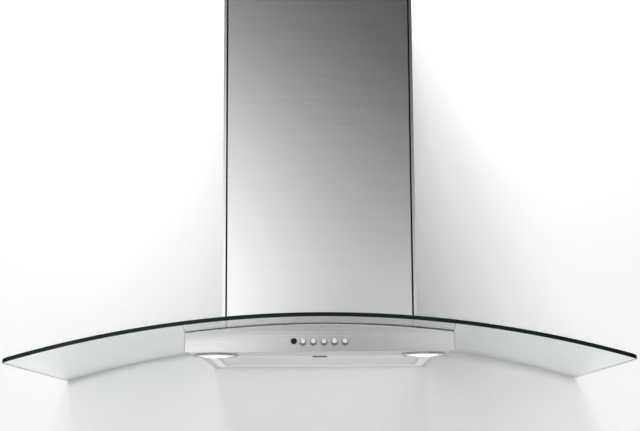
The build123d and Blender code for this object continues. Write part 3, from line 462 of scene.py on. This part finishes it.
diffuser = {
    "index": 1.5,
    "frost": 1400.0,
    "dark": (0.9, 0.9, 0.88),
    "light": (0.98, 0.98, 0.96),
    "gloss": (0.35, 0.5),
    "relief": (0.2, 0.0001),
    "glowDark": (0.95, 0.94, 0.91),
    "glowLight": (1.0, 0.99, 0.96),
    "glowSpan": (0.006, 0.032),  # radius where the glow starts to fall, and where it ends
    "rimGlow": 0.08,
    "strength": 1.3,
}


def litLens():
    # frosted diffuser with the lamp on behind it; the glow falls by length(|x| - lampX, y - lampY)
    s = diffuser
    mat, tree, shader = newFinish("litLens", {"IOR": s["index"], "Emission Strength": s["strength"]})
    frost = noise(tree, objectPattern(tree), s["frost"], detail=3.0, rough=0.6)
    surface(tree, shader, frost, s["dark"], s["light"], s["gloss"], s["relief"])
    low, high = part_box("lamp_lens_right")
    middle = (low + high) / 2
    place = objectPlace(tree)
    flat = addNode(tree, "ShaderNodeCombineXYZ", {"X": maths(tree, "ABSOLUTE", place["X"]), "Y": place["Y"]})
    out = addNode(tree, "ShaderNodeVectorMath", {0: flat.outputs[0], 1: (middle.x, middle.y, 0.0)},
                  operation="DISTANCE").outputs["Value"]
    glow = spread(tree, out, 1.0, s["rimGlow"], s["glowSpan"], "SMOOTHSTEP")
    warm = tones(tree, frost, s["glowDark"], s["glowLight"])
    feed(tree, shader, {"Emission Color": mixTones(tree, 1.0, warm, glow, "MULTIPLY")})
    return mat


foam = {"cells": 2200.0, "span": (0.1, 0.7), "dark": (0.012, 0.012, 0.012), "light": (0.035, 0.035, 0.035),
        "gloss": (0.75, 0.92), "relief": (0.5, 0.0002)}


def foamRubber():
    # closed cells: tone, roughness and height by the distance to each cell's middle
    s = foam
    mat, tree, shader = newFinish("foamRubber")
    cell = addNode(tree, "ShaderNodeTexVoronoi", {"Vector": objectPattern(tree), "Scale": s["cells"]})
    surface(tree, shader, cell.outputs["Distance"], s["dark"], s["light"], s["gloss"], s["relief"], s["span"])
    return mat


board = {"tracks": 260.0, "trackWidth": 0.05, "track": (0.05, 0.29, 0.13, 1.0), "mask": (0.02, 0.17, 0.075, 1.0),
         "maskLight": (0.03, 0.2, 0.09, 1.0), "wave": 300.0, "gloss": (0.28, 0.42)}


def circuitBoard():
    # solder mask over copper tracks: a brick pattern whose joints are the tracks
    s = board
    mat, tree, shader = newFinish("circuitBoard")
    where = objectPattern(tree)
    track = addNode(tree, "ShaderNodeTexBrick", {
        "Vector": where, "Scale": s["tracks"], "Mortar Size": s["trackWidth"],
        "Color1": s["mask"], "Color2": s["maskLight"], "Mortar": s["track"]}).outputs["Color"]
    wave = noise(tree, where, s["wave"], detail=3.0, rough=0.5)
    feed(tree, shader, {"Base Color": track, "Roughness": spread(tree, wave, *s["gloss"])})
    return mat


levelGrain = (9.0, 9.0, 640.0)
crossGrain = (9.0, 640.0, 640.0)
finish = {
    # steel and plastic: colour, then grain and roughness, or roughness and size of the pattern
    # the chimney's seams get a painted shade in the joint
    "chimneySteel": brushedSteel("chimneySteel", (0.70, 0.70, 0.695), levelGrain, 0.155, contrast=0.035,
                                 shade=paintedSeamShade),
    # the fascia's tone gets painted shade under the buttons
    "fasciaSteel": brushedSteel("fasciaSteel", (0.605, 0.605, 0.6), levelGrain, 0.2, contrast=0.09, stretch=0.8,
                                shade=shadeUnder),
    "traySteel": brushedSteel("traySteel", (0.6, 0.6, 0.595), crossGrain, 0.28),
    "galvanised": sheetMetal("galvanised", (0.6, 0.62, 0.63), 0.42, 0.006),
    "zincScrew": spunMetal("zincScrew", (0.66, 0.66, 0.64), 0.28, 1500.0),
    "turnedSteel": spunMetal("turnedSteel", (0.7, 0.7, 0.7), 0.24, 1200.0),
    "pressedSteel": sheetMetal("pressedSteel", (0.55, 0.56, 0.57), 0.4, 0.012),
    # painted shade: the bezel's chrome is made dark, so the lamp's front rim reads as a shadow line
    "lampChrome": spunMetal("lampChrome", (0.38, 0.38, 0.385), 0.2, 900.0),
    "lampAluminium": spunMetal("lampAluminium", (0.75, 0.75, 0.76), 0.36, 800.0),
    "filterAluminium": brushedSteel("filterAluminium", (0.95, 0.95, 0.95), crossGrain, 0.5),
    "meshAluminium": spunMetal("meshAluminium", (0.97, 0.97, 0.97), 0.5, 1200.0),
    # the latch tab's upper part is painted dark, as the shade of a slot
    "latchSteel": brushedSteel("latchSteel", (0.85, 0.85, 0.85), crossGrain, 0.4, shade=paintedSlotShade),
    "clearGlass": clearGlass(),
    "glassEdge": glassEdge(),
    # the face has a painted glow: emission of 0.2 that makes it look brighter
    "buttonFace": satinButton("buttonFace", (0.90, 0.905, 0.91), (0.97, 0.972, 0.975), 0.2),
    # painted shade: the side is darker, as the shaded underside of a button
    "buttonSideShade": satinButton("buttonSideShade", (0.42, 0.42, 0.42), (0.5, 0.5, 0.5), 0.0),
    "darkWindow": darkWindow(),
    "litLens": litLens(),
    "foamRubber": foamRubber(),
    "carrierPlastic": moulded("carrierPlastic", (0.05, 0.05, 0.055), 0.5, 0.0006),
    "switchPlastic": moulded("switchPlastic", (0.04, 0.04, 0.04), 0.45, 0.0005),
    "circuitBoard": circuitBoard(),
    "blowerPlastic": moulded("blowerPlastic", (0.16, 0.16, 0.17), 0.48, 0.0007),
    "impellerPlastic": moulded("impellerPlastic", (0.1, 0.1, 0.11), 0.42, 0.0007),
    "motorEnamel": moulded("motorEnamel", (0.08, 0.08, 0.09), 0.34, 0.0012),
    "collarPlastic": moulded("collarPlastic", (0.22, 0.22, 0.23), 0.5, 0.0007),
}
print("finishes made,", len(finish))

# CAD nodes that keep their shape get a finish, and a small round on their folds.
dress = [
    # finish, round in metres, nodes
    ("chimneySteel", 0.0005, ["chimney_front_panel", "chimney_side_left", "chimney_side_right", "upper_chimney"]),
    ("fasciaSteel", 0.0004, ["control_fascia"]),
    ("traySteel", 0.0004, ["body_shell"]),
    ("galvanised", 0.0003, ["airbox", "wall_plate", "chimney_bracket_left", "chimney_bracket_right",
                            "upper_wall_strap", "filter_pivot_lugs"]),
    ("zincScrew", 0.0, ["clamp_bolts", "clamp_nuts", "motor_screws", "collar_screws", "chimney_screws",
                        "upper_chimney_screws"]),
    ("turnedSteel", 0.0, ["motor_shaft", "flap_pin", "filter_pivot_pins"]),
    ("pressedSteel", 0.0003, ["motor_spider"]),
    ("lampAluminium", 0.0, ["lamp_housing_left", "lamp_housing_right", "run_capacitor"]),
    ("filterAluminium", 0.0006, ["filter_frame"]),
    ("latchSteel", 0.0004, ["filter_latch"]),
    ("foamRubber", 0.0, ["glass_seal_lower", "glass_seal_upper"]),
    ("carrierPlastic", 0.0004, ["button_carrier", "cable_gland", "terminal_box", "capacitor_clamp"]),
    ("switchPlastic", 0.0, ["tact_switches"]),
    ("circuitBoard", 0.0, ["control_board"]),
    ("blowerPlastic", 0.0004, ["blower_housing_left", "blower_housing_right", "outlet_transition"]),
    ("impellerPlastic", 0.0, ["impeller"]),
    ("motorEnamel", 0.0, ["motor"]),
    ("collarPlastic", 0.0003, ["outlet_collar", "flap_left", "flap_right"]),
]
fold = {"weld": 1e-5, "flatAngle": 0.5, "segments": 2, "foldAngle": 40.0}


def dressNode(node, mat, edge):
    # joins the loose triangles into flats, then rounds the edges that turn by more than the fold angle
    for slot in node.material_slots:
        slot.material = mat
    if edge > 0.0:
        weld = node.modifiers.new("joinFacets", "WELD")
        weld.merge_threshold = fold["weld"]
        flat = node.modifiers.new("joinFlats", "DECIMATE")
        flat.decimate_type = "DISSOLVE"
        flat.angle_limit = math.radians(fold["flatAngle"])
        rounded = node.modifiers.new("foldRound", "BEVEL")
        rounded.width = edge
        rounded.segments = fold["segments"]
        rounded.limit_method = "ANGLE"
        rounded.angle_limit = math.radians(fold["foldAngle"])
        rounded.harden_normals = True


for finishName, edge, names in dress:
    for nodeName in names:
        dressNode(cadNodes[nodeName], finish[finishName], edge)
print("nodes dressed")

# The bent glass canopy.
glass = {
    "halfWidth": 0.450,
    "front": -0.480,
    "back": -0.001,
    "bendRadius": 1.620,
    "crownZ": -0.150,
    "thickness": 0.006,
    "frontCorner": 0.012,
    "backCorner": 0.002,
    "cornerSteps": 10,
    "arris": 0.0011,
    "arrisSteps": 5,
    "airway": (0.1108, -0.2258, -0.0282, 0.012),  # half width, front, back, corner
    "boltHole": 0.004,
    "boltX": 0.1336,
    "boltY": (-0.190, -0.050),
    "boltSteps": 24,
    "rimStep": 0.006,  # between points along the rim
    "airwayStep": 0.012,
    "cell": (0.012, 0.016),
    "gridInset": (0.008, 0.007),  # of the inner points, from the low and the high rim
    "airwayClear": 0.006,
    "boltClear": 0.005,
}


def onBend(xy, height):
    # the sheet is bent about a line along Y: z = axis + sqrt((radius + height)^2 - x^2)
    axis = glass["crownZ"] - glass["bendRadius"]
    z = axis + np.sqrt((glass["bendRadius"] + height) ** 2 - xy[:, 0] ** 2)
    return np.column_stack([xy, z])


def bendNormal(xy):
    # away from the line of the bend: (x / radius, 0, sqrt(1 - (x / radius)^2))
    lean = xy[:, 0] / glass["bendRadius"]
    return np.column_stack([lean, np.zeros(len(xy)), np.sqrt(1.0 - lean ** 2)])


def roundedLoop(x0, x1, y0, y1, corners, step):
    # a rectangle's outline with rounded corners, as points and outward normals, counter-clockwise
    points, normals = [], []
    middles = [(x1 - corners[0], y0 + corners[0], -90), (x1 - corners[1], y1 - corners[1], 0),
               (x0 + corners[2], y1 - corners[2], 90), (x0 + corners[3], y0 + corners[3], 180)]
    for (cx, cy, start), radius in zip(middles, corners):
        angle = np.radians(np.linspace(start, start + 90, glass["cornerSteps"]))
        out = np.column_stack([np.cos(angle), np.sin(angle)])
        points.append(np.array([cx, cy]) + radius * out)
        normals.append(out)
    loop, outward = [], []
    for i in range(len(corners)):
        loop.append(points[i])
        outward.append(normals[i])
        a, b = points[i][-1], points[(i + 1) % len(corners)][0]
        count = max(2, int(np.linalg.norm(b - a) / step))
        share = np.linspace(0.0, 1.0, count + 1)[1:-1, None]
        loop.append(a + (b - a) * share)
        outward.append(np.repeat(normals[i][-1:], count - 1, axis=0))
    return np.concatenate(loop), np.concatenate(outward)


def circleLoop(cx, cy, radius, count):
    # a circle as points and outward normals: p = middle + radius * (cos a, sin a)
    angle = np.linspace(0.0, 2.0 * np.pi, count, endpoint=False)
    out = np.column_stack([np.cos(angle), np.sin(angle)])
    return np.array([cx, cy]) + radius * out, out


def boltPlaces(g):
    return [(x, y) for x in (-g["boltX"], g["boltX"]) for y in g["boltY"]]


def glassLoops(g):
    # the rim, the airway and the bolt holes, with normals that point out of the glass
    halfX, front, back, corner = g["airway"]
    corners = (g["frontCorner"], g["backCorner"], g["backCorner"], g["frontCorner"])
    rim = roundedLoop(-g["halfWidth"], g["halfWidth"], g["front"], g["back"], corners, g["rimStep"])
    holes = [roundedLoop(-halfX, halfX, front, back, (corner,) * 4, g["airwayStep"])]
    holes += [circleLoop(x, y, g["boltHole"], g["boltSteps"]) for x, y in boltPlaces(g)]
    return [rim] + [(loop, -outward) for loop, outward in holes]


def inHoles(g, xy, airwayGrow, boltReach):
    # true inside the airway grown by airwayGrow, or within boltReach of a bolt
    halfX, front, back, _ = g["airway"]
    inside = ((np.abs(xy[:, 0]) < halfX + airwayGrow)
              & (xy[:, 1] > front - airwayGrow) & (xy[:, 1] < back + airwayGrow))
    for x, y in boltPlaces(g):
        inside |= np.hypot(xy[:, 0] - x, xy[:, 1] - y) < boltReach
    return inside


def makeGlass(g):
    # edges: a small round, a flat and a small round, carried along each outline; faces: triangles between them
    t, r = g["thickness"], g["arris"]
    quarter = np.radians(np.linspace(0.0, 90.0, g["arrisSteps"]))
    inset = np.concatenate([r - r * np.sin(quarter), r - r * np.cos(quarter)])
    height = np.concatenate([t - r + r * np.cos(quarter), r - r * np.sin(quarter)])
    outNess = np.concatenate([np.sin(quarter), np.cos(quarter)])
    upNess = np.concatenate([np.cos(quarter), -np.sin(quarter)])
    points, normals, faces, kinds, tops, bottoms, base = [], [], [], [], [], [], 0
    for loop, outward in glassLoops(g):
        n, m = len(loop), len(inset)
        flatXY = (loop[:, None] - outward[:, None] * inset[None, :, None]).reshape(-1, 2)
        points.append(onBend(flatXY, np.tile(height, n)))
        across = np.column_stack([np.repeat(outward, m, axis=0), np.zeros(n * m)])
        normal = across * np.tile(outNess, n)[:, None] + bendNormal(flatXY) * np.tile(upNess, n)[:, None]
        normals.append(normal / np.linalg.norm(normal, axis=1)[:, None])
        band = gridFaces(n, m, closeRows=True) + base
        faces += band[:, ::-1].tolist()
        kinds.append(np.ones(len(band), int))
        tops.append(base + np.arange(n) * m)
        bottoms.append(base + np.arange(n) * m + m - 1)
        base += n * m
    lowInset, highInset = g["gridInset"]
    gx = np.arange(-g["halfWidth"] + lowInset, g["halfWidth"] - highInset, g["cell"][0])
    gy = np.arange(g["front"] + lowInset, g["back"] - highInset, g["cell"][1])
    inner = np.array(np.meshgrid(gx, gy)).reshape(2, -1).T
    inner = inner[~inHoles(g, inner, g["airwayClear"], g["boltHole"] + g["boltClear"])]
    ringSizes = [len(ring) for ring in tops]
    starts = np.cumsum([0] + ringSizes[:-1])
    edges = np.concatenate([np.column_stack([s + np.arange(n), s + (np.arange(n) + 1) % n])
                            for s, n in zip(starts, ringSizes)]).tolist()
    rims = np.concatenate(points)
    for rim, lift, sign in ((tops, t, 1.0), (bottoms, 0.0, -1.0)):
        index = np.concatenate([*rim, base + np.arange(len(inner))])
        flat = np.concatenate([rims[np.concatenate(rim)][:, :2], inner])
        spots, _, triangles, origins = delaunay_2d_cdt([Vector(p) for p in flat], edges, [], 1, seamMerge)[:4]
        tri = np.array(triangles)
        middle = np.array([tuple(v) for v in spots])[tri].mean(axis=1)
        tri = tri[~inHoles(g, middle, -r, g["boltHole"])]
        tri = index[np.array([o[0] for o in origins])[tri]]
        faces += (tri if sign > 0 else tri[:, ::-1]).tolist()
        kinds.append(np.zeros(len(tri), int))
        points.append(onBend(inner, lift))
        normals.append(sign * bendNormal(inner))
        base += len(inner)
    piece = newPiece("canopyGlass", np.concatenate(points), faces, [finish["clearGlass"], finish["glassEdge"]],
                     np.concatenate(kinds), np.concatenate(normals))
    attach(piece, "hood")
    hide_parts("glass_canopy")


makeGlass(glass)
print("glass made")

# Push buttons and the sensor window.
button = {
    "radius": 0.0039,
    "stand": 0.0030,  # out of the fascia
    "sheet": 0.0012,  # of the fascia
    "sheetGap": 0.0002,
    "edge": 0.0011,
    "edgeSteps": 8,
    "dimple": 0.0021,
    "dimpleDepth": 0.0008,
    "dimpleSteps": 10,
    "flange": 0.0052,
    "flangeThickness": 0.0012,
    "stem": 0.0020,
    "steps": 64,
}


def makeButton(name, b):
    # turned about Y: stem, flange behind the sheet, a rounded edge (quarter circle) and a dimple (sphere cap)
    low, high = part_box("button_" + name)
    centre = (low + high) / 2
    length = high.y - low.y
    sphere = capRadius(b["dimple"], b["dimpleDepth"])
    swing = math.degrees(math.asin(b["dimple"] / sphere))
    flangeFront = -(b["stand"] + b["sheet"]) - b["sheetGap"]
    flangeBack = flangeFront - b["flangeThickness"]
    profile = np.concatenate([
        [(0.0, -length), (b["stem"], -length), (b["stem"], flangeBack), (b["flange"], flangeBack),
         (b["flange"], flangeFront), (b["radius"], flangeFront)],
        arc((b["radius"] - b["edge"], -b["edge"]), b["edge"], 0.0, 90.0, b["edgeSteps"]),
        arc((0.0, sphere - b["dimpleDepth"]), sphere, -90.0 + swing, -90.0, b["dimpleSteps"]),
    ])
    profile[-1, 0] = 0.0
    # the face starts halfway round the edge; the side before it takes the darker finish, painted shade for the
    # button's underside
    faceFrom = len(profile) - b["dimpleSteps"] - b["edgeSteps"] // 2
    onFace = np.arange(len(profile) - 1) >= faceFrom
    piece = lathe("cap_" + name, profile, (centre.x, low.y, centre.z), (0.0, -1.0, 0.0), b["steps"],
                  [finish["buttonSideShade"], finish["buttonFace"]], onFace)
    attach(piece, "button_" + name)
    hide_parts("button_" + name)


for buttonName in ("power", "low", "medium", "high", "lamp"):
    makeButton(buttonName, button)

window = {"radius": 0.0045, "barrel": 0.0040, "dome": 0.0004, "domeSteps": 12, "sheet": 0.0012, "steps": 64}


def makeWindow(w):
    # turned about Y: a barrel through the sheet, a wider head and a sphere cap for its face
    low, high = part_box("sensor_window")
    centre = (low + high) / 2
    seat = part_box("control_fascia")[0].y + w["sheet"] - low.y
    depth = high.y - low.y
    sphere = capRadius(w["radius"], w["dome"])
    swing = math.degrees(math.asin(w["radius"] / sphere))
    profile = np.concatenate([
        [(0.0, -depth), (w["barrel"], -depth), (w["barrel"], -seat), (w["radius"], -seat)],
        arc((0.0, -sphere), sphere, 90.0 - swing, 90.0, w["domeSteps"]),
    ])
    profile[-1, 0] = 0.0
    piece = lathe("sensor_lens", profile, (centre.x, low.y, centre.z), (0.0, -1.0, 0.0), w["steps"],
                  [finish["darkWindow"]])
    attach(piece, "hood")
    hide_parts("sensor_window")


makeWindow(window)
print("controls made")

# Lamps: a spun bezel and a frosted lens with rings.
lamp = {
    "flange": 0.0350,
    "flangeThickness": 0.0022,
    "flangeRound": 0.0010,
    "flangeRoundSteps": 7,
    "collar": 0.0336,
    "collarWall": 0.0008,
    "collarHeight": 0.0080,
    "lip": 0.0013,
    "lipThickness": 0.0012,
    "lipRound": 0.0003,
    "lipRoundSteps": 5,
    "fit": 0.0002,
    "lensThickness": 0.0025,
    "lensDome": 0.0032,
    "ringCount": 14,
    "ringDepth": 0.00025,
    "ringSteps": 8,
    "steps": 96,
}


def makeLamp(side, q):
    # bezel, turned about Z: a flange with two quarter rounds, a collar behind it and a lip that holds the lens
    low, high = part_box("lamp_bezel_" + side)
    middle = (low + high) / 2
    centre = (middle.x, middle.y, low.z + q["flangeThickness"])
    inner = q["collar"] - q["collarWall"]
    lipRadius = inner - q["lip"]
    lipZ = q["lipThickness"] - q["flangeThickness"]
    foot = -q["flangeThickness"]
    lipRound, flangeRound = q["lipRound"], q["flangeRound"]
    profile = np.concatenate([
        arc((lipRadius + lipRound, foot + lipRound), lipRound, 180.0, 270.0, q["lipRoundSteps"]),
        arc((q["flange"] - flangeRound, foot + flangeRound), flangeRound, 270.0, 360.0, q["flangeRoundSteps"]),
        [(q["flange"], 0.0), (q["collar"], 0.0), (q["collar"], q["collarHeight"]), (inner, q["collarHeight"]),
         (inner, lipZ), (lipRadius, lipZ), (lipRadius, foot + lipRound)],
    ])
    bezel = lathe("bezel_" + side, profile, centre, (0.0, 0.0, 1.0), q["steps"], [finish["lampChrome"]])
    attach(bezel, "hood")
    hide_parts("lamp_bezel_" + side)
    # the lens hangs through the bezel as a shallow dome; rings: height + depth * sin^2 along the radius
    rim = inner - q["fit"]
    dome = lipRadius - q["fit"]
    sphere = capRadius(dome, q["lensDome"])
    radius = np.linspace(dome, 0.0, q["ringSteps"] * q["ringCount"] + 1)
    sag = lipZ - (np.sqrt(sphere ** 2 - radius ** 2) - (sphere - q["lensDome"]))
    sag += q["ringDepth"] * np.sin(np.pi * q["ringCount"] * radius / dome) ** 2
    profile = np.concatenate([
        [(0.0, lipZ + q["lensThickness"]), (rim, lipZ + q["lensThickness"]), (rim, lipZ)],
        np.column_stack([radius, sag]),
    ])
    lens = lathe("lens_" + side, profile, centre, (0.0, 0.0, 1.0), q["steps"], [finish["litLens"]])
    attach(lens, "hood")
    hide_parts("lamp_lens_" + side)


for lampSide in ("left", "right"):
    makeLamp(lampSide, lamp)
print("lamps made")

# The grease filter: two layers of expanded metal.
net = {
    "pitch": 0.0100,
    "pitchSteps": 4,
    "row": 0.0050,
    "strand": 0.0032,
    "thickness": 0.00016,
    "layers": (-0.0004, 0.0004),
    "shift": (0.0, 0.5),
    "twist": 0.1,
}


def makeNet(n):
    # each strand waves along X as y = y0 +- (row - strand) / 2 * triangle(x / pitch), its neighbours the other way
    low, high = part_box("filter_mesh")
    midZ = (low.z + high.z) / 2
    rows = int((high.y - low.y - n["strand"]) / n["row"])
    count = int((high.x - low.x) / n["pitch"]) * n["pitchSteps"]
    x = np.linspace(low.x, high.x, count + 1)
    y0 = (low.y + high.y) / 2 + n["row"] * (np.arange(rows) - (rows - 1) / 2)
    flip = np.where(np.arange(rows) % 2 == 0, 1.0, -1.0)
    # the corners of a strand's section, as shares of its width and thickness
    corner = np.array([(-0.5, -0.5), (0.5, -0.5), (0.5, 0.5), (-0.5, 0.5)])
    sides = len(corner)
    tube = gridFaces(len(x), sides, closeColumns=True)
    ends = np.array([[1, 2, 3, 0], np.arange(sides)[::-1] + sides * (len(x) - 1)])
    strandFaces = np.concatenate([tube[:, ::-1], ends])
    points, faces, base = [], [], 0
    for lift, shift in zip(n["layers"], n["shift"]):
        turn = 2.0 * np.pi * (x / n["pitch"] + shift)
        wave = np.arcsin(np.sin(turn)) * 2.0 / np.pi
        y = y0[:, None] + flip[:, None] * wave[None, :] * (n["row"] - n["strand"]) / 2
        lean = np.cos(turn)[None, :] * flip[:, None] * n["twist"] * n["thickness"]
        cy = y[:, :, None] + corner[None, None, :, 0] * n["strand"]
        cz = midZ + lift + corner[None, None, :, 1] * n["thickness"]
        cz = cz + lean[:, :, None] * corner[None, None, :, 0] * 2.0
        cx = np.broadcast_to(x[None, :, None], cy.shape)
        points.append(np.stack([cx, cy, cz], axis=3).reshape(-1, 3))
        firsts = base + np.arange(rows) * len(x) * sides
        faces.append((strandFaces[None] + firsts[:, None, None]).reshape(-1, sides))
        base += rows * len(x) * sides
    piece = newPiece("filter_net", np.concatenate(points), np.concatenate(faces).tolist(),
                     [finish["meshAluminium"]])
    faceOutwards(piece)
    piece.data.polygons.foreach_set("use_smooth", np.zeros(len(piece.data.polygons), bool))
    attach(piece, "filter")
    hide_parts("filter_mesh")


makeNet(net)
print("filter net made")

# The stage: a pale wall that sweeps out into a floor, seen from the front only.
stage = {
    "wallY": 0.0005,
    "top": 3.2,
    "floorZ": -1.25,
    "cove": 0.5,
    "coveSteps": 25,
    "front": -6.0,
    "halfWidth": 6.0,
    "tone": 0.55,
    "rough": 0.9,
    "specular": 0.2,
    "wallTone": 1.34,
    "floorTone": 0.95,
    "toneSpan": (-1.2, -0.55),  # heights between which the floor's tone becomes the wall's
    "fadeSpan": (1.2, 4.0),
    "farTone": 0.86,
}


def makeStage(s):
    # wall, quarter-round cove and floor as one profile carried along X
    turn = np.radians(np.linspace(0.0, 90.0, s["coveSteps"]))
    coveY = s["wallY"] - s["cove"] + s["cove"] * np.cos(turn)
    coveZ = s["floorZ"] + s["cove"] - s["cove"] * np.sin(turn)
    y = np.concatenate([[s["wallY"]], coveY, [s["front"]]])
    z = np.concatenate([[s["top"]], coveZ, [s["floorZ"]]])
    x = np.array([-s["halfWidth"], s["halfWidth"]])
    points = np.stack([np.broadcast_to(x[:, None], (2, len(y))), np.tile(y, (2, 1)), np.tile(z, (2, 1))], axis=2)
    mat, tree, shader = newFinish("studioPaint", {"Base Color": grey(s["tone"]), "Roughness": s["rough"],
                                                  "Specular IOR Level": s["specular"]})
    # whiter paint for what the camera sees, straight, in metal or through glass
    path = addNode(tree, "ShaderNodeLightPath").outputs
    seen = maths(tree, "MAXIMUM", path["Is Camera Ray"], path["Is Glossy Ray"])
    seen = maths(tree, "MAXIMUM", seen, path["Is Transmission Ray"])
    place = objectPlace(tree)
    tone = spread(tree, place["Z"], s["floorTone"], s["wallTone"], s["toneSpan"])
    white = addNode(tree, "ShaderNodeBsdfDiffuse", {"Color": tone})
    # that paint fades into the room with distance: share = smoothstep(length(x, y))
    flat = addNode(tree, "ShaderNodeCombineXYZ", {"X": place["X"], "Y": place["Y"]}).outputs[0]
    away = addNode(tree, "ShaderNodeVectorMath", {0: flat}, operation="LENGTH").outputs["Value"]
    far = spread(tree, away, 0.0, 1.0, s["fadeSpan"], "SMOOTHSTEP")
    haze = addNode(tree, "ShaderNodeEmission", {"Color": grey(s["farTone"])})
    paint = mixShaders(tree, seen, shader, mixShaders(tree, far, white, haze))
    # it shows from the front only and casts no shadow
    behind = addNode(tree, "ShaderNodeNewGeometry").outputs["Backfacing"]
    unseen = maths(tree, "MAXIMUM", behind, path["Is Shadow Ray"])
    mixed = mixShaders(tree, unseen, paint, addNode(tree, "ShaderNodeBsdfTransparent"))
    tree.links.new(mixed.outputs[0], tree.nodes["Material Output"].inputs["Surface"])
    sweep = newPiece("studioSweep", points.reshape(-1, 3), gridFaces(2, len(y))[:, ::-1].tolist(), [mat])


makeStage(stage)

skySet = {
    "lean": 0.7,
    "level": 1.4,
    # height, share of the level
    "rows": [(-1.35, 0.3), (-0.3, 0.9), (0.0, 1.3), (0.09, 1.3), (0.16, 0.86), (0.24, 0.36), (0.32, 0.09),
             (0.5, 0.03), (0.9, 0.08), (1.35, 0.2)],
    "sideTones": (0.25, 0.15),
    "sideFrom": 0.14,
    "sideTo": 0.45,
    "rearTone": 0.8,
    "rearSpan": (0.0, 0.3),
    "seenTone": 0.86,
    # a dark stripe straight ahead that fades with height: height, tone
    "stripeX": 0.012,
    "stripeReach": 0.13,
    "stripe": [(0.0, 0.12), (0.075, 0.12), (0.105, 0.56), (0.13, 0.6), (0.16, 0.54), (0.19, 0.65), (0.23, 0.83),
               (0.27, 0.92), (0.3, 1.0)],
}


def rampOf(tree, value, rows):
    # tone by straight lines between rows of (place, tone)
    first, last = rows[0][0], rows[-1][0]
    ramp = addNode(tree, "ShaderNodeValToRGB", {"Fac": spread(tree, value, 0.0, 1.0, (first, last))})
    stops = ramp.color_ramp.elements
    while len(stops) < len(rows):
        stops.new(0.5)  # placed below
    for stop, (at, tone) in zip(stops, rows):
        stop.position = (at - first) / (last - first)
        stop.color = grey(tone)
    return ramp.outputs["Color"]


def makeSky(s):
    # a soft room, dark high in front and even at the sides: tone = ramp(z + lean * x), fading to the side
    # tones by |x|, times a dip that rises to 1 away from the stripe, times the rear tone behind the wall
    world = bpy.data.worlds.new("softRoom")
    scene.world = world
    world.use_nodes = True
    tree = world.node_tree
    place = addNode(tree, "ShaderNodeTexCoord").outputs["Generated"]
    way = addNode(tree, "ShaderNodeSeparateXYZ", {"Vector": place}).outputs
    ahead = rampOf(tree, plus(tree, way["Z"], way["X"], s["lean"]), s["rows"])
    side = spread(tree, maths(tree, "ABSOLUTE", way["X"]), 0.0, 1.0, (s["sideFrom"], s["sideTo"]))
    sideTone = spread(tree, way["X"], *s["sideTones"], (-s["sideFrom"], s["sideFrom"]))
    tone = mixTones(tree, side, ahead, sideTone)
    aside = maths(tree, "ABSOLUTE", maths(tree, "SUBTRACT", way["X"], s["stripeX"]))
    clear = spread(tree, aside, 0.0, 1.0, (0.0, s["stripeReach"]), "SMOOTHSTEP")
    dip = mixTones(tree, clear, rampOf(tree, way["Z"], s["stripe"]), grey(1.0))
    rear = spread(tree, way["Y"], 1.0, s["rearTone"], s["rearSpan"])
    dimmed = mixTones(tree, 1.0, mixTones(tree, 1.0, tone, dip, "MULTIPLY"), rear, "MULTIPLY")
    back = tree.nodes["Background"]
    back.inputs["Strength"].default_value = s["level"]
    feed(tree, back, {"Color": dimmed})
    # the camera, and the view through glass, meet a plain pale room
    plain = addNode(tree, "ShaderNodeBackground", {"Color": grey(s["seenTone"])})
    path = addNode(tree, "ShaderNodeLightPath").outputs
    seen = maths(tree, "MAXIMUM", path["Is Camera Ray"], path["Is Transmission Ray"])
    room = mixShaders(tree, seen, back, plain)
    tree.links.new(room.outputs[0], tree.nodes["World Output"].inputs["Surface"])


makeSky(skySet)
print("stage made")
